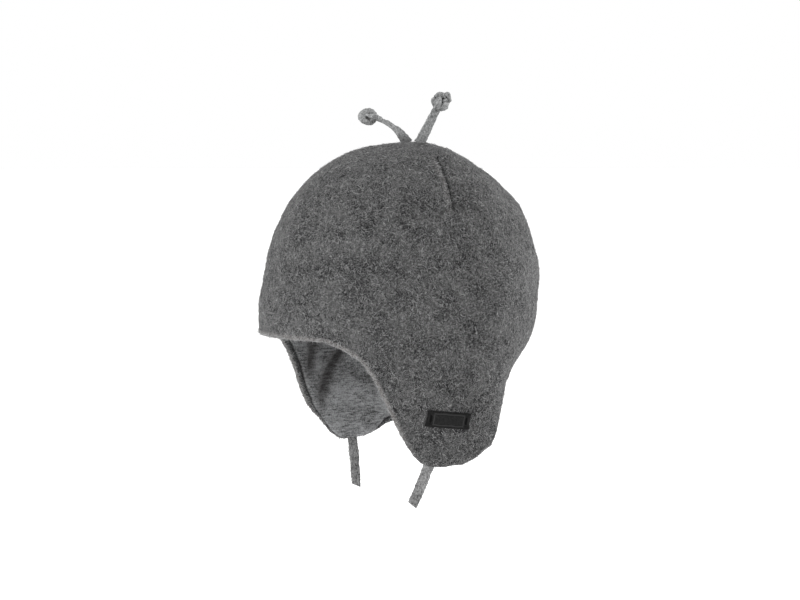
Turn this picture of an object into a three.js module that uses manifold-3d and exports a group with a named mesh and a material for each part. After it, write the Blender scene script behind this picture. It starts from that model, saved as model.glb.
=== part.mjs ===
// A baby's hat with ear flaps: a felted fleece shell over a jersey lining, a woven label on the left
// flap, a jersey tie at the tip of each flap and two knotted jersey strips on top of the crown.
// Millimetres, +Z up. The brow faces -Y and the wearer's left ear is at +X. The origin is the inside
// top of the lining, where the hat sits on the head. Angles are in degrees round the head, from 0 at
// the brow to 90 at the wearer's left ear, -90 at the right ear and 180 at the nape.
import * as THREE from 'three';
import Module from 'manifold-3d';

// Outside of the hat
const hatWidth = 138;
const frontReach = 93.6; // from the top of the crown forward to the brow
const backReach = 68.8; // from the top of the crown to the back of the head
const browDepth = 106.2; // from the top of the crown down to the brow edge
const napeDrop = 26; // from the brow edge down to the nape edge
const flapDrop = 70; // from the brow edge down to the tips of the flaps

// Cloth
const fleeceWall = 2.2;
const edgeThickness = 3.6; // the fleece turned in along the edge
const hemRise = 2.8; // how far the turned fleece reaches up inside
const jerseyWall = 1;
const clearance = 0.3; // between pieces that touch

// Darts in the crown
const sideDartAngle = 84.4;
const sideDartStart = 9; // how far down the outside a dart begins
const dartLength = 34; // how much further down it ends
const dartHalfWidth = 3.4;
const dartDepth = 1.1;
const dartSkew = 0.7; // below 1 the deepest place lies above the middle of the dart

// Jersey strips: the ties and the knotted strips on top
const stripWidth = 6;
const stripThickness = 1.6;
const leftTieAngle = 74.6;
const leftTieLength = 23.5;
const leftTieInward = 2.4; // how far the end of a tie bends out of its straight line
const leftTieForward = -0.9;
const rightTieAngle = -81.6;
const rightTieLength = 28;
const rightTieInward = 2;
const rightTieForward = 1.7;
const antennaSpacing = 7.2; // between the feet of the two strips on top
const antennaSetback = -2.6; // the middle of the two feet, measured back from the top of the crown
const frontKnotForward = 20.8; // each knot's place is measured from the foot of its strip
const frontKnotAside = -3.4; // above 0 towards the left ear
const frontKnotRise = 13.3;
const frontKnotSize = 9.8;
const frontTailLength = 5.2; // the loose end, from the middle of the knot
const backKnotForward = -10.4;
const backKnotAside = 1.5;
const backKnotRise = 18.2;
const backKnotSize = 11.4;
const backTailLength = 6.6;
const knotStripWidth = 4.2; // crumpled narrower where it is knotted
const knotStripThickness = 2.4;
const knotCoreShare = 0.33; // radius of the cloth packed inside a knot, as a share of its size

// Woven label on the left flap
const labelLength = 25.6;
const labelHeight = 9.2;
const labelThickness = 0.8;
const labelAngle = 80.8;
const labelLevel = 1.63; // on the same scale as the outline's levels
const labelTilt = -6.5; // degrees, down towards the back

// Fineness of the meshes
const columnCount = 64;
const flapRows = 5;
const edgeSteps = 4;
const labelColumns = 8;
const labelRows = 3;
const stripSides = 8;

// Outline of the crown and flaps by level: 0 at the top, 1 at the brow edge, 2 at the tips of the
// flaps. The reaches are shares of the half width, the front reach and the back reach.
const outline = [
  { level: 0, side: 0, front: 0, back: 0 },
  { level: 0.041, side: 0.342, front: 0.395, back: 0.235 },
  { level: 0.103, side: 0.517, front: 0.553, back: 0.4 },
  { level: 0.206, side: 0.694, front: 0.703, back: 0.625 },
  { level: 0.35, side: 0.845, front: 0.832, back: 0.842 },
  { level: 0.514, side: 0.943, front: 0.915, back: 0.933 },
  { level: 0.7, side: 0.994, front: 0.962, back: 1 },
  { level: 0.885, side: 1, front: 0.998, back: 0.968 },
  { level: 1.04, side: 0.995, front: 1, back: 0.9 },
  { level: 1.38, side: 0.975, front: 0.981, back: 0.668 },
  { level: 1.73, side: 0.943, front: 0.962, back: 0.668 },
  { level: 2.08, side: 0.897, front: 0.94, back: 0.64 },
];

// Edge of the flaps: how far the edge drops at each angle, as a share of the way from the plain edge,
// which runs from the brow to the nape, down to the tips of the flaps
const flapEdge = [
  { angle: 0, drop: 0 },
  { angle: 33, drop: 0.01 },
  { angle: 42, drop: 0.063 },
  { angle: 48, drop: 0.14 },
  { angle: 53, drop: 0.268 },
  { angle: 57, drop: 0.44 },
  { angle: 62, drop: 0.661 },
  { angle: 67, drop: 0.85 },
  { angle: 72, drop: 0.965 },
  { angle: 78, drop: 1 },
  { angle: 85, drop: 0.992 },
  { angle: 94, drop: 0.94 },
  { angle: 103, drop: 0.855 },
  { angle: 110, drop: 0.785 },
  { angle: 115, drop: 0.65 },
  { angle: 120, drop: 0.4 },
  { angle: 125, drop: 0.17 },
  { angle: 130, drop: 0.02 },
  { angle: 136, drop: 0 },
  { angle: 180, drop: 0 },
];
const plainEdgeStart = 60; // the plain edge begins to drop towards the nape here
const plainEdgeEnd = 120;

// Rows of the crown, as levels; the rows of the flaps follow the edge below the last of them
const crownLevels = [0.006, 0.028, 0.075, 0.15, 0.26, 0.4, 0.55, 0.7];

// Darts: the size of each is a share of the full dart
const darts = [
  { angle: sideDartAngle, size: 1 },
  { angle: -sideDartAngle, size: 1 },
  { angle: 180, size: 0.8 },
];

// Soft folds where the lining stands off the fleece inside the right flap. Each runs down a line from
// one angle and level to another.
const liningFolds = [
  { topAngle: -66, topLevel: 1.02, footAngle: -60.4, footLevel: 1.42, halfWidth: 5, height: 1.8 },
  { topAngle: -84, topLevel: 1.08, footAngle: -66, footLevel: 1.66, halfWidth: 6, height: 2.2 },
];

// The two knotted strips. Reach is forward, aside is towards the left ear and rise is up, each from the
// foot to the knot. The knot is turned about its own axis, and the loose end leaves its middle at an
// angle to the stem. Along the line, forward and rise are shares of the reach and the rise, twist is how
// far the strip has turned about its line in degrees, and curl is how far its edges have rolled in,
// from 0 where it is flat to 1 where it is as narrow as in the knot.
const antennas = [
  {
    name: 'antenna_front', side: 1,
    reach: frontKnotForward, aside: frontKnotAside, rise: frontKnotRise,
    knotSize: frontKnotSize, knotTurn: 20, tailTurn: 60, tailLength: frontTailLength,
    line: [
      { forward: 0, rise: 0, twist: 0, curl: 0 },
      { forward: 0.22, rise: 0.36, twist: 25, curl: 0.5 },
      { forward: 0.4, rise: 0.6, twist: 60, curl: 1 },
      { forward: 0.62, rise: 0.81, twist: 70, curl: 1 },
      { forward: 1, rise: 1, twist: 75, curl: 1 },
    ],
  },
  {
    name: 'antenna_back', side: -1,
    reach: backKnotForward, aside: backKnotAside, rise: backKnotRise,
    knotSize: backKnotSize, knotTurn: 65, tailTurn: -15, tailLength: backTailLength,
    line: [
      { forward: 0, rise: 0, twist: 0, curl: 0 },
      { forward: 0.33, rise: 0.28, twist: 0, curl: 0 },
      { forward: 0.6, rise: 0.57, twist: 4, curl: 0.1 },
      { forward: 0.82, rise: 0.82, twist: 8, curl: 0.3 },
      { forward: 1, rise: 1, twist: 10, curl: 0.6 },
    ],
  },
];
const stemSteps = 10;

const tieRows = 7;

// A smooth line through the table's values that never swings past them: cubic pieces whose slope at
// each value is the harmonic mean of the slopes beside it, and zero where those differ in sign
function smoothTable(places, values) {
  const last = places.length - 1;
  const slopes = places.slice(1).map((place, k) => (values[k + 1] - values[k]) / (place - places[k]));
  const tangents = values.map((value, k) => {
    if (k === 0) return slopes[0];
    if (k === last) return slopes[last - 1];
    const product = slopes[k - 1] * slopes[k];
    return product > 0 ? (2 * product) / (slopes[k - 1] + slopes[k]) : 0;
  });
  return (place) => {
    let k = 0;
    while (k < last - 1 && place > places[k + 1]) k += 1;
    const span = places[k + 1] - places[k];
    const t = (place - places[k]) / span;
    const rise = values[k + 1] - values[k];
    const bend = t * (1 - t) * span;
    return values[k] + rise * t * t * (3 - 2 * t) + bend * ((1 - t) * tangents[k] - t * tangents[k + 1]);
  };
}

const mix = THREE.MathUtils.lerp;
const smooth = (t) => THREE.MathUtils.smoothstep(t, 0, 1);
const radians = THREE.MathUtils.degToRad;
const levelDepth = (level) => (level <= 1 ? level * browDepth : browDepth + (level - 1) * flapDrop);

// The square of each reach is what runs smoothly with depth, so the crown is round at its top
const outlineDepths = outline.map((row) => levelDepth(row.level));
const reachTable = (key, reach) => {
  const squared = smoothTable(outlineDepths, outline.map((row) => (row[key] * reach) ** 2));
  return (depth) => Math.sqrt(Math.max(squared(depth), 0));
};
const sideAt = reachTable('side', hatWidth / 2);
const frontAt = reachTable('front', frontReach);
const backAt = reachTable('back', backReach);
const flapShare = smoothTable(flapEdge.map((row) => row.angle), flapEdge.map((row) => row.drop));

const outsideTop = fleeceWall + clearance + jerseyWall;
const edgeRadius = edgeThickness / 2;

// Outside of the hat as a surface of angle and depth: an oval at each depth, whose front half and back
// half have their own reach
function outside(angle, depth) {
  const turn = radians(angle);
  const along = Math.cos(turn) > 0 ? frontAt(depth) : backAt(depth);
  return new THREE.Vector3(sideAt(depth) * Math.sin(turn), -along * Math.cos(turn), outsideTop - depth);
}

// Slopes of the surface with angle and with depth, from two near points on each side
function slopes(angle, depth) {
  const angleStep = 0.5;
  const depthStep = Math.min(0.5, depth / 2);
  const around = outside(angle + angleStep, depth).sub(outside(angle - angleStep, depth));
  const down = outside(angle, depth + depthStep).sub(outside(angle, depth - depthStep));
  return { around: around.divideScalar(2 * angleStep), down: down.divideScalar(2 * depthStep) };
}

function outward(angle, depth) {
  const { around, down } = slopes(angle, depth);
  return down.cross(around).normalize();
}

function edgeDepth(angle) {
  const away = Math.abs(angle > 180 ? angle - 360 : angle);
  const nape = smooth((away - plainEdgeStart) / (plainEdgeEnd - plainEdgeStart));
  const plain = browDepth + napeDrop * nape;
  return plain + flapShare(away) * (browDepth + flapDrop - plain);
}

const edgePoint = (angle) => outside(angle, edgeDepth(angle));

// Frame of the edge at an angle: along it, out of the cloth, and up the cloth at right angles to both
function edgeFrame(angle) {
  const step = 0.5;
  const along = edgePoint(angle + step).sub(edgePoint(angle - step)).normalize();
  const out = outward(angle, edgeDepth(angle));
  const upward = out.clone().cross(along).normalize();
  return { point: edgePoint(angle), along, out, upward };
}

// Angle and depth of the point that lies a given distance up the cloth from the edge: the distance is
// split into the surface's two slopes by solving for its least difference
function insetFromEdge(angle, distance) {
  const depth = edgeDepth(angle);
  const { around, down } = slopes(angle, depth);
  const target = edgeFrame(angle).upward.multiplyScalar(distance);
  const aa = around.dot(around);
  const ad = around.dot(down);
  const dd = down.dot(down);
  const ta = target.dot(around);
  const td = target.dot(down);
  const scale = 1 / (aa * dd - ad * ad);
  return { angle: angle + scale * (ta * dd - td * ad), depth: depth + scale * (td * aa - ta * ad) };
}

// Angles evenly spaced along the edge, found by stepping round it in small chords
function evenEdgeAngles(count) {
  const fine = 720;
  const angles = Array.from({ length: fine + 1 }, (_, k) => (360 * k) / fine);
  const lengths = [0];
  for (let k = 1; k <= fine; k += 1) {
    lengths.push(lengths[k - 1] + edgePoint(angles[k]).distanceTo(edgePoint(angles[k - 1])));
  }
  let k = 0;
  return Array.from({ length: count }, (_, column) => {
    const wanted = (lengths[fine] * column) / count;
    while (lengths[k + 1] < wanted) k += 1;
    return mix(angles[k], angles[k + 1], (wanted - lengths[k]) / (lengths[k + 1] - lengths[k]));
  });
}

const columns = Array.from({ length: columnCount }, (_, column) => column);
const edgeAngles = evenEdgeAngles(columnCount);
const columnStep = 360 / columnCount;
const dartColumns = darts.map((dart) => {
  const angle = (dart.angle + 360) % 360;
  return { ...dart, angle, column: Math.round(angle / columnStep) };
});

// Angle of a column in the crown: even, but a column runs down each dart and its neighbours keep close
function crownAngle(column, depth) {
  for (const dart of dartColumns) {
    const away = column - dart.column;
    const spread = THREE.MathUtils.radToDeg(dartHalfWidth / Math.max(sideAt(depth), dartHalfWidth));
    if (Math.abs(away) <= 1) return dart.angle + away * Math.min(spread, columnStep);
  }
  return column * columnStep;
}

// How deep a dart's own column sinks at a depth: nothing at both ends, most near the middle
function dartSink(column, depth) {
  const dart = dartColumns.find((each) => each.column === column);
  const share = (depth - sideDartStart) / dartLength;
  if (!dart || share <= 0 || share >= 1) return 0;
  return dartDepth * dart.size * Math.sin(Math.PI * share ** dartSkew);
}

// Rows of angle and depth for all columns, from the top of the crown to a distance above the edge
function clothRows(distance) {
  const lastCrown = levelDepth(crownLevels.at(-1));
  const rows = crownLevels.map((level) => columns.map((column) => {
    const depth = levelDepth(level);
    return { column, angle: crownAngle(column, depth), depth };
  }));
  for (let row = 1; row <= flapRows; row += 1) {
    const share = row / flapRows;
    rows.push(columns.map((column) => {
      const inset = insetFromEdge(edgeAngles[column], distance);
      const angle = mix(crownAngle(column, lastCrown), inset.angle, smooth(share));
      return { column, angle, depth: mix(lastCrown, inset.depth, share) };
    }));
  }
  return rows;
}

// The ring of points that lies a given depth inside the outside surface
const ringInside = (row, inside) => row.map(({ angle, depth, column }) => {
  const sink = typeof inside === 'function' ? inside(angle, depth, column) : inside;
  return outside(angle, depth).addScaledVector(outward(angle, depth), -sink);
});

// A closed body from rings of equal length: a fan to the first point, bands between the rings and a
// fan to the last point. Each four-cornered patch is split along its shorter diagonal.
function bodyFromRings(first, rings, last) {
  const count = rings[0].length;
  const points = [first, ...rings.flat(), last];
  const index = [];
  const at = (ring, k) => 1 + ring * count + (k % count);
  for (let k = 0; k < count; k += 1) {
    index.push(0, at(0, k), at(0, k + 1));
    index.push(points.length - 1, at(rings.length - 1, k + 1), at(rings.length - 1, k));
    for (let ring = 0; ring < rings.length - 1; ring += 1) {
      const [a, b, c, d] = [at(ring, k), at(ring + 1, k), at(ring + 1, k + 1), at(ring, k + 1)];
      if (points[a].distanceTo(points[c]) < points[b].distanceTo(points[d])) index.push(a, b, c, a, c, d);
      else index.push(a, b, d, b, c, d);
    }
  }
  const geometry = new THREE.BufferGeometry().setFromPoints(points);
  geometry.setIndex(index);
  return geometry;
}

const crownTop = (inside) => new THREE.Vector3(0, 0, outsideTop - inside);

// Shell: down the outside, round the turned edge, up the hem and back up the inside of the fleece
function shellGeometry() {
  const rows = clothRows(hemRise);
  const rings = rows.map((row) => ringInside(row, (angle, depth, column) => dartSink(column, depth)));
  for (let step = 0; step <= edgeSteps; step += 1) {
    const turn = (Math.PI * step) / edgeSteps;
    const rise = edgeRadius * (1 - Math.sin(turn));
    const inside = edgeRadius * (1 - Math.cos(turn));
    rings.push(edgeAngles.map((angle) => {
      const { point, upward, out } = edgeFrame(angle);
      return point.addScaledVector(upward, rise).addScaledVector(out, -inside);
    }));
  }
  rings.push(ringInside(rows.at(-1), edgeThickness));
  rows.reverse().forEach((row) => rings.push(ringInside(row, fleeceWall)));
  return bodyFromRings(crownTop(0), rings, crownTop(fleeceWall));
}

// How far the lining's folds stand off the fleece: a smooth hump across each fold's line
function foldLift(angle, depth) {
  const signed = angle > 180 ? angle - 360 : angle;
  let lift = 0;
  for (const fold of liningFolds) {
    const top = levelDepth(fold.topLevel);
    const share = (depth - top) / (levelDepth(fold.footLevel) - top);
    if (share <= 0 || share >= 1) continue;
    const away = radians(signed - mix(fold.topAngle, fold.footAngle, share)) * (hatWidth / 2);
    const across = Math.max(1 - Math.abs(away) / (2 * fold.halfWidth), 0);
    lift += fold.height * Math.sin(Math.PI * share) * smooth(across);
  }
  return lift;
}

// Lining: a jersey cup inside the fleece that ends at the shoulder of the hem
function liningGeometry() {
  const rows = [...clothRows(hemRise).slice(0, -1), clothRows(hemRise + clearance).at(-1)];
  const outer = fleeceWall + clearance;
  const layer = (inside) => {
    const folded = (angle, depth) => inside + foldLift(angle, depth);
    return rows.map((row) => ringInside(row, folded));
  };
  const rings = [...layer(outer), ...layer(outer + jerseyWall).reverse()];
  return bodyFromRings(crownTop(outer), rings, crownTop(outer + jerseyWall));
}

// Label: a small patch that follows the outside of the left flap
function labelGeometry() {
  const middle = levelDepth(labelLevel);
  const arc = slopes(labelAngle, middle).around.length();
  const tilt = radians(labelTilt);
  const layer = (height) => {
    const place = (u, v) => {
      const across = (u / labelColumns - 0.5) * labelLength;
      const up = (0.5 - v / labelRows) * labelHeight;
      const angle = labelAngle + (across * Math.cos(tilt) - up * Math.sin(tilt)) / arc;
      const depth = middle - across * Math.sin(tilt) - up * Math.cos(tilt);
      return outside(angle, depth).addScaledVector(outward(angle, depth), height);
    };
    return Array.from({ length: labelRows + 1 }, (_, v) => (
      Array.from({ length: labelColumns + 1 }, (__, u) => place(u, v))
    ));
  };
  return slabFromLayers(layer(clearance), layer(clearance + labelThickness));
}

// A closed body from two grids of points, the lower and the upper face of a slab
function slabFromLayers(lower, upper) {
  const rowLength = lower[0].length;
  const points = [...lower.flat(), ...upper.flat()];
  const offset = lower.length * rowLength;
  const index = [];
  const quad = (a, b, c, d) => index.push(a, b, c, a, c, d);
  for (let v = 0; v < lower.length - 1; v += 1) {
    for (let u = 0; u < rowLength - 1; u += 1) {
      const a = v * rowLength + u;
      quad(a, a + 1, a + 1 + rowLength, a + rowLength);
      quad(offset + a, offset + a + rowLength, offset + a + 1 + rowLength, offset + a + 1);
    }
  }
  const border = [];
  for (let u = 0; u < rowLength - 1; u += 1) border.push(u);
  for (let v = 0; v < lower.length - 1; v += 1) border.push(v * rowLength + rowLength - 1);
  for (let u = rowLength - 1; u > 0; u -= 1) border.push((lower.length - 1) * rowLength + u);
  for (let v = lower.length - 1; v > 0; v -= 1) border.push(v * rowLength);
  border.forEach((a, k) => {
    const b = border[(k + 1) % border.length];
    quad(a, offset + a, offset + b, b);
  });
  const geometry = new THREE.BufferGeometry().setFromPoints(points);
  geometry.setIndex(index);
  return geometry;
}

// A flat band with soft corners carried along a line of stations. Each station has its place, the
// direction across the band and the band's half width and half thickness there; its ring of points
// lies in the plane of that direction and of the direction square to it and to the line.
function bandGeometry(stations) {
  const squareness = 0.45;
  const soften = (value) => Math.sign(value) * Math.abs(value) ** squareness;
  const rings = stations.map((station, k) => {
    const before = stations[Math.max(k - 1, 0)].place;
    const after = stations[Math.min(k + 1, stations.length - 1)].place;
    const along = after.clone().sub(before).normalize();
    const face = along.clone().cross(station.across).normalize();
    return Array.from({ length: stripSides }, (_, side) => {
      const turn = (2 * Math.PI * (side + 0.5)) / stripSides;
      return station.place.clone()
        .addScaledVector(station.across, soften(Math.cos(turn)) * station.halfWidth)
        .addScaledVector(face, -soften(Math.sin(turn)) * station.halfThickness);
    });
  });
  return bodyFromRings(stations[0].place, rings, stations.at(-1).place);
}

// Tie: a strip that leaves the edge at right angles to it and bends as it hangs
function tieGeometry({ angle, length, inwardBend, forwardBend }) {
  const { point, along, out, upward } = edgeFrame(angle);
  const start = point.addScaledVector(out, -edgeRadius).addScaledVector(upward, -clearance);
  const inward = new THREE.Vector3(-Math.sign(angle), 0, 0);
  const forward = new THREE.Vector3(0, -1, 0);
  const stations = Array.from({ length: tieRows + 1 }, (_, row) => {
    const share = row / tieRows;
    const place = start.clone().addScaledVector(upward, -length * share)
      .addScaledVector(inward, inwardBend * share ** 2)
      .addScaledVector(forward, forwardBend * share ** 2);
    return { place, across: along, halfWidth: stripWidth / 2, halfThickness: stripThickness / 2 };
  });
  return bandGeometry(stations);
}

const wasm = await Module();
wasm.setup();

function solidFromGeometry(geometry) {
  const vertProperties = new Float32Array(geometry.getAttribute('position').array);
  const triVerts = new Uint32Array(geometry.getIndex().array);
  return new wasm.Manifold(new wasm.Mesh({ numProp: 3, vertProperties, triVerts }));
}

function geometryFromSolid(solid) {
  const { vertProperties, triVerts } = solid.getMesh();
  const geometry = new THREE.BufferGeometry();
  geometry.setAttribute('position', new THREE.BufferAttribute(vertProperties, 3));
  geometry.setIndex(new THREE.BufferAttribute(triVerts, 1));
  return geometry;
}

// The line of an overhand knot pulled tight: a trefoil wound on a ring whose wide radius is twice its
// narrow one, so that it reaches three narrow radii and half a strip from its middle. The axes are
// those of the ring, the last one square to its plane.
function knotStation(middle, axes, size, turn) {
  const unit = (size - knotStripThickness) / 6;
  const ring = 2 + Math.cos(3 * turn);
  const local = [ring * Math.cos(2 * turn), ring * Math.sin(2 * turn), Math.sin(3 * turn)];
  const offset = new THREE.Vector3();
  local.forEach((value, k) => offset.addScaledVector(axes[k], value * unit));
  return { place: middle.clone().add(offset), offset };
}

// Spans of the knot, each a short band of its own, so that they can be joined into one body
function knotSpans(middle, axes, size) {
  const spanCount = 9;
  const spanSteps = 3;
  const overlap = 0.05;
  const nearby = 0.01;
  const turnAt = (span, step) => {
    const share = (step / spanSteps) * (1 + 2 * overlap) - overlap;
    return (2 * Math.PI * (span + share)) / spanCount;
  };
  return Array.from({ length: spanCount }, (_, span) => {
    const stations = Array.from({ length: spanSteps + 1 }, (__, step) => {
      const { place, offset } = knotStation(middle, axes, size, turnAt(span, step));
      const ahead = knotStation(middle, axes, size, turnAt(span, step) + nearby).place;
      const across = ahead.sub(place).cross(offset).normalize();
      return { place, across, halfWidth: knotStripWidth / 2, halfThickness: knotStripThickness / 2 };
    });
    return solidFromGeometry(bandGeometry(stations));
  });
}

// Stem of a knotted strip: its line smoothed, flat on the crown at its foot and square to its own line
// higher up, with the turn and the curl of its edges taken between the rows of its table
function stemStations(antenna) {
  const foot = antennaSetback - (antenna.side * antennaSpacing) / 2;
  const places = antenna.line.map(({ forward, rise }) => new THREE.Vector3(
    antenna.aside * forward,
    foot - antenna.reach * forward,
    outsideTop + clearance + antenna.rise * rise,
  ));
  const curve = new THREE.CatmullRomCurve3(places);
  const rows = antenna.line.length - 1;
  const between = (key, t) => {
    const row = Math.min(Math.floor(t * rows), rows - 1);
    return mix(antenna.line[row][key], antenna.line[row + 1][key], t * rows - row);
  };
  return Array.from({ length: stemSteps + 1 }, (_, step) => {
    const t = step / stemSteps;
    const along = curve.getTangent(t);
    const level = new THREE.Vector3(0, 1, 0);
    const square = level.clone().addScaledVector(along, -along.dot(level)).normalize();
    const twist = radians(between('twist', t));
    const across = level.lerp(square, smooth(2 * t)).normalize().applyAxisAngle(along, twist);
    const curl = between('curl', t);
    return {
      place: curve.getPoint(t),
      across,
      halfWidth: mix(stripWidth, knotStripWidth, curl) / 2,
      halfThickness: mix(stripThickness, knotStripThickness, curl) / 2,
    };
  });
}

// Knotted strip: its stem, the knot at its end with the cloth packed inside it, and the short loose
// end, joined into one body
function antennaGeometry(antenna) {
  const stem = stemStations(antenna);
  const end = stem.at(-1);
  const heading = end.place.clone().sub(stem.at(-2).place).normalize();
  const middle = end.place.clone().addScaledVector(heading, (antenna.knotSize - knotStripThickness) / 2);
  stem.push({ ...end, place: middle });
  const axisOut = new THREE.Vector3(1, 0, 0).addScaledVector(heading, -heading.x).normalize();
  const first = heading.clone().applyAxisAngle(axisOut, radians(antenna.knotTurn));
  const axes = [first, axisOut.clone().cross(first), axisOut];
  const loose = heading.clone().applyAxisAngle(axisOut, radians(antenna.tailTurn));
  const tail = [0, 0.5, 1].map((share) => ({
    place: middle.clone().addScaledVector(loose, antenna.tailLength * share),
    across: axisOut.clone().cross(loose).normalize(),
    halfWidth: knotStripWidth / 2,
    halfThickness: stripThickness / 2,
  }));
  const coreRadius = knotCoreShare * antenna.knotSize;
  const core = [-0.9, -0.5, 0, 0.5, 0.9].map((height) => ({
    place: middle.clone().addScaledVector(axisOut, height * coreRadius),
    across: first,
    halfWidth: coreRadius * Math.sqrt(1 - height ** 2),
    halfThickness: coreRadius * Math.sqrt(1 - height ** 2),
  }));
  const solids = [stem, tail, core].map((stations) => solidFromGeometry(bandGeometry(stations)));
  solids.push(...knotSpans(middle, axes, antenna.knotSize));
  return geometryFromSolid(solids.reduce((joined, solid) => joined.add(solid)));
}

const fleece = new THREE.MeshStandardMaterial({ color: 0x5f5f5f, roughness: 1, metalness: 0 });
const jersey = new THREE.MeshStandardMaterial({ color: 0x74777a, roughness: 0.95, metalness: 0 });
const jerseyStrip = new THREE.MeshStandardMaterial({ color: 0x8e9090, roughness: 0.95, metalness: 0 });
const wovenBlack = new THREE.MeshStandardMaterial({ color: 0x2b2b2c, roughness: 0.7, metalness: 0 });

const hat = new THREE.Group();
const addPiece = (name, geometry, material) => {
  const mesh = new THREE.Mesh(geometry, material);
  mesh.name = name;
  hat.add(mesh);
};

addPiece('shell', shellGeometry(), fleece);
addPiece('lining', liningGeometry(), jersey);
addPiece('label', labelGeometry(), wovenBlack);
addPiece('tie_left', tieGeometry({
  angle: leftTieAngle, length: leftTieLength, inwardBend: leftTieInward, forwardBend: leftTieForward,
}), jerseyStrip);
addPiece('tie_right', tieGeometry({
  angle: rightTieAngle, length: rightTieLength, inwardBend: rightTieInward, forwardBend: rightTieForward,
}), jerseyStrip);
antennas.forEach((antenna) => addPiece(antenna.name, antennaGeometry(antenna), jerseyStrip));

export default hat;
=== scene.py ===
"""A baby's fleece hat with ear flaps, dressed for a studio picture.

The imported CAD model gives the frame: millimetres here become metres in the meshes, +Z is up, the brow
faces -Y and the wearer's left ear is at +X. Angles are in degrees round the head, from 0 at the brow to
90 at the left ear and 180 at the nape. Depth is measured down from the top of the crown.

Each sub-assembly is a class that holds its sizes, works its surfaces out as numpy arrays and dresses
them in a finish of its own.
"""

import logging
import math
from dataclasses import dataclass, field
from enum import Enum
from functools import cached_property

import bpy
import numpy as np
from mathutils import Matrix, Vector


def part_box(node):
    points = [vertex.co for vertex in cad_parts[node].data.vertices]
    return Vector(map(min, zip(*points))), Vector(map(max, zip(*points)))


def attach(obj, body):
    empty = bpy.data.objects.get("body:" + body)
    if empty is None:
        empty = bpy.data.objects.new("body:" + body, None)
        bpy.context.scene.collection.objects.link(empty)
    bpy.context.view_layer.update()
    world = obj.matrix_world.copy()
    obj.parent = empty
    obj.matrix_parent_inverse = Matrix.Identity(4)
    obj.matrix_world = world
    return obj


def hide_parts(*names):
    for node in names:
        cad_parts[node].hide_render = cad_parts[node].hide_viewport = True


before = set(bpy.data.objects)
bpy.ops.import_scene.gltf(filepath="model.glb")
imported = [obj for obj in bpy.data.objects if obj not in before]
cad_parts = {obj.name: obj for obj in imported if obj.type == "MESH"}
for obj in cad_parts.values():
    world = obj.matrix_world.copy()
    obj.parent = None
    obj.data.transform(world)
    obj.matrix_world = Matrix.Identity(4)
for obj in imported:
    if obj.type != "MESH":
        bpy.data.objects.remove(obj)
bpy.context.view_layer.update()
MM = 0.001
LOG = logging.getLogger("hat")
FACING = 63.5
"""The angle round the head that the camera and the knots face."""

Array = np.ndarray
Socket = bpy.types.NodeSocket

OUTLINE = {
    "level": (0, 0.041, 0.103, 0.206, 0.35, 0.514, 0.7, 0.885, 1.04, 1.38, 1.73, 2.08),
    "side": (0, 0.342, 0.517, 0.694, 0.845, 0.943, 0.994, 1, 0.995, 0.975, 0.943, 0.897),
    "front": (0, 0.395, 0.553, 0.703, 0.832, 0.915, 0.962, 0.998, 1, 0.981, 0.962, 0.94),
    "back": (0, 0.235, 0.4, 0.625, 0.842, 0.933, 1, 0.968, 0.9, 0.668, 0.668, 0.64),
}
"""Outline by level, 0 at the top, 1 at the brow edge and 2 at the tips of the flaps. The reaches are
shares of the half width, the front reach and the back reach."""

FLAP_EDGE = {
    "angle": (0, 33, 42, 48, 53, 57, 62, 67, 72, 78, 85, 94, 103, 110, 115, 120, 125, 130, 136, 180),
    "drop": (0, 0.01, 0.063, 0.14, 0.268, 0.44, 0.661, 0.85, 0.965, 1, 0.992, 0.94, 0.855, 0.785,
             0.65, 0.4, 0.17, 0.02, 0, 0),
}
"""How far the edge drops at each angle, as a share of the way from the plain edge to the flap tips."""

HEM = {
    "angle": (0, 40, 50, 56, 62, 68, 78, 92, 98, 104, 180),
    "fleece": (2.8, 3.4, 4.0, 2.9, 2.2, 1.6, 1.4, 1.4, 1.9, 2.6, 2.8),
    "lining": (3.1, 3.7, 4.3, 3.2, 2.0, 0.9, 0.3, 0.3, 1.6, 2.9, 3.1),
}
"""How far above the edge the turned fleece ends inside, and where the lining starts, in millimetres."""

STRIP_LINES = {
    "front": {
        "forward": (0, 0.22, 0.4, 0.58, 0.75),
        "rise": (0, 0.36, 0.6, 0.79, 0.91),
        "twist": (0, 12, 22, 28, 30),
        "curl": (0, 0.4, 0.75, 0.95, 1),
    },
    "back": {
        "forward": (0, 0.33, 0.6, 0.82, 1),
        "rise": (0, 0.28, 0.57, 0.82, 1),
        "twist": (0, 0, 4, 8, 10),
        "curl": (0, 0.3, 0.45, 0.55, 0.7),
    },
}
"""Lines of the two strips on top, from foot to knot: shares of the reach and of the rise, degrees of
twist, and how far the edges have rolled in, from 0 where the strip is flat to 1."""


class Side(Enum):
    """The two sides of the hat, as the sign of X."""

    LEFT = 1
    RIGHT = -1


class Fibre(Enum):
    """The kinds of loose fibre, by their sections: short straight spikes and longer curved strands."""

    SPIKE = 1
    STRAND = 2


@dataclass(frozen=True)
class Nap:
    """One kind of loose fibre: its number, its ranges in millimetres and degrees, and its mean shade."""

    kind: Fibre
    count: int
    length: tuple[float, float]
    lean: tuple[float, float]
    bend: float
    half_width: tuple[float, float]
    shade: float
    seed: int


NAP_SHORT = Nap(Fibre.SPIKE, 46000, (0.5, 1.3), (20, 80), 0.0, (0.035, 0.065), 0.3, 31)
NAP_LONG = Nap(Fibre.STRAND, 19000, (1.5, 3.4), (74, 88), 0.8, (0.09, 0.16), 0.42, 32)

FELT_WAVES = ((0.25, 34, 11, 40), (0.1, 7, 12, 60), (0.05, 3, 13, 60))
"""Dents and lumps of the felt: height and wavelength in millimetres, seed and number of waves."""

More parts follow.
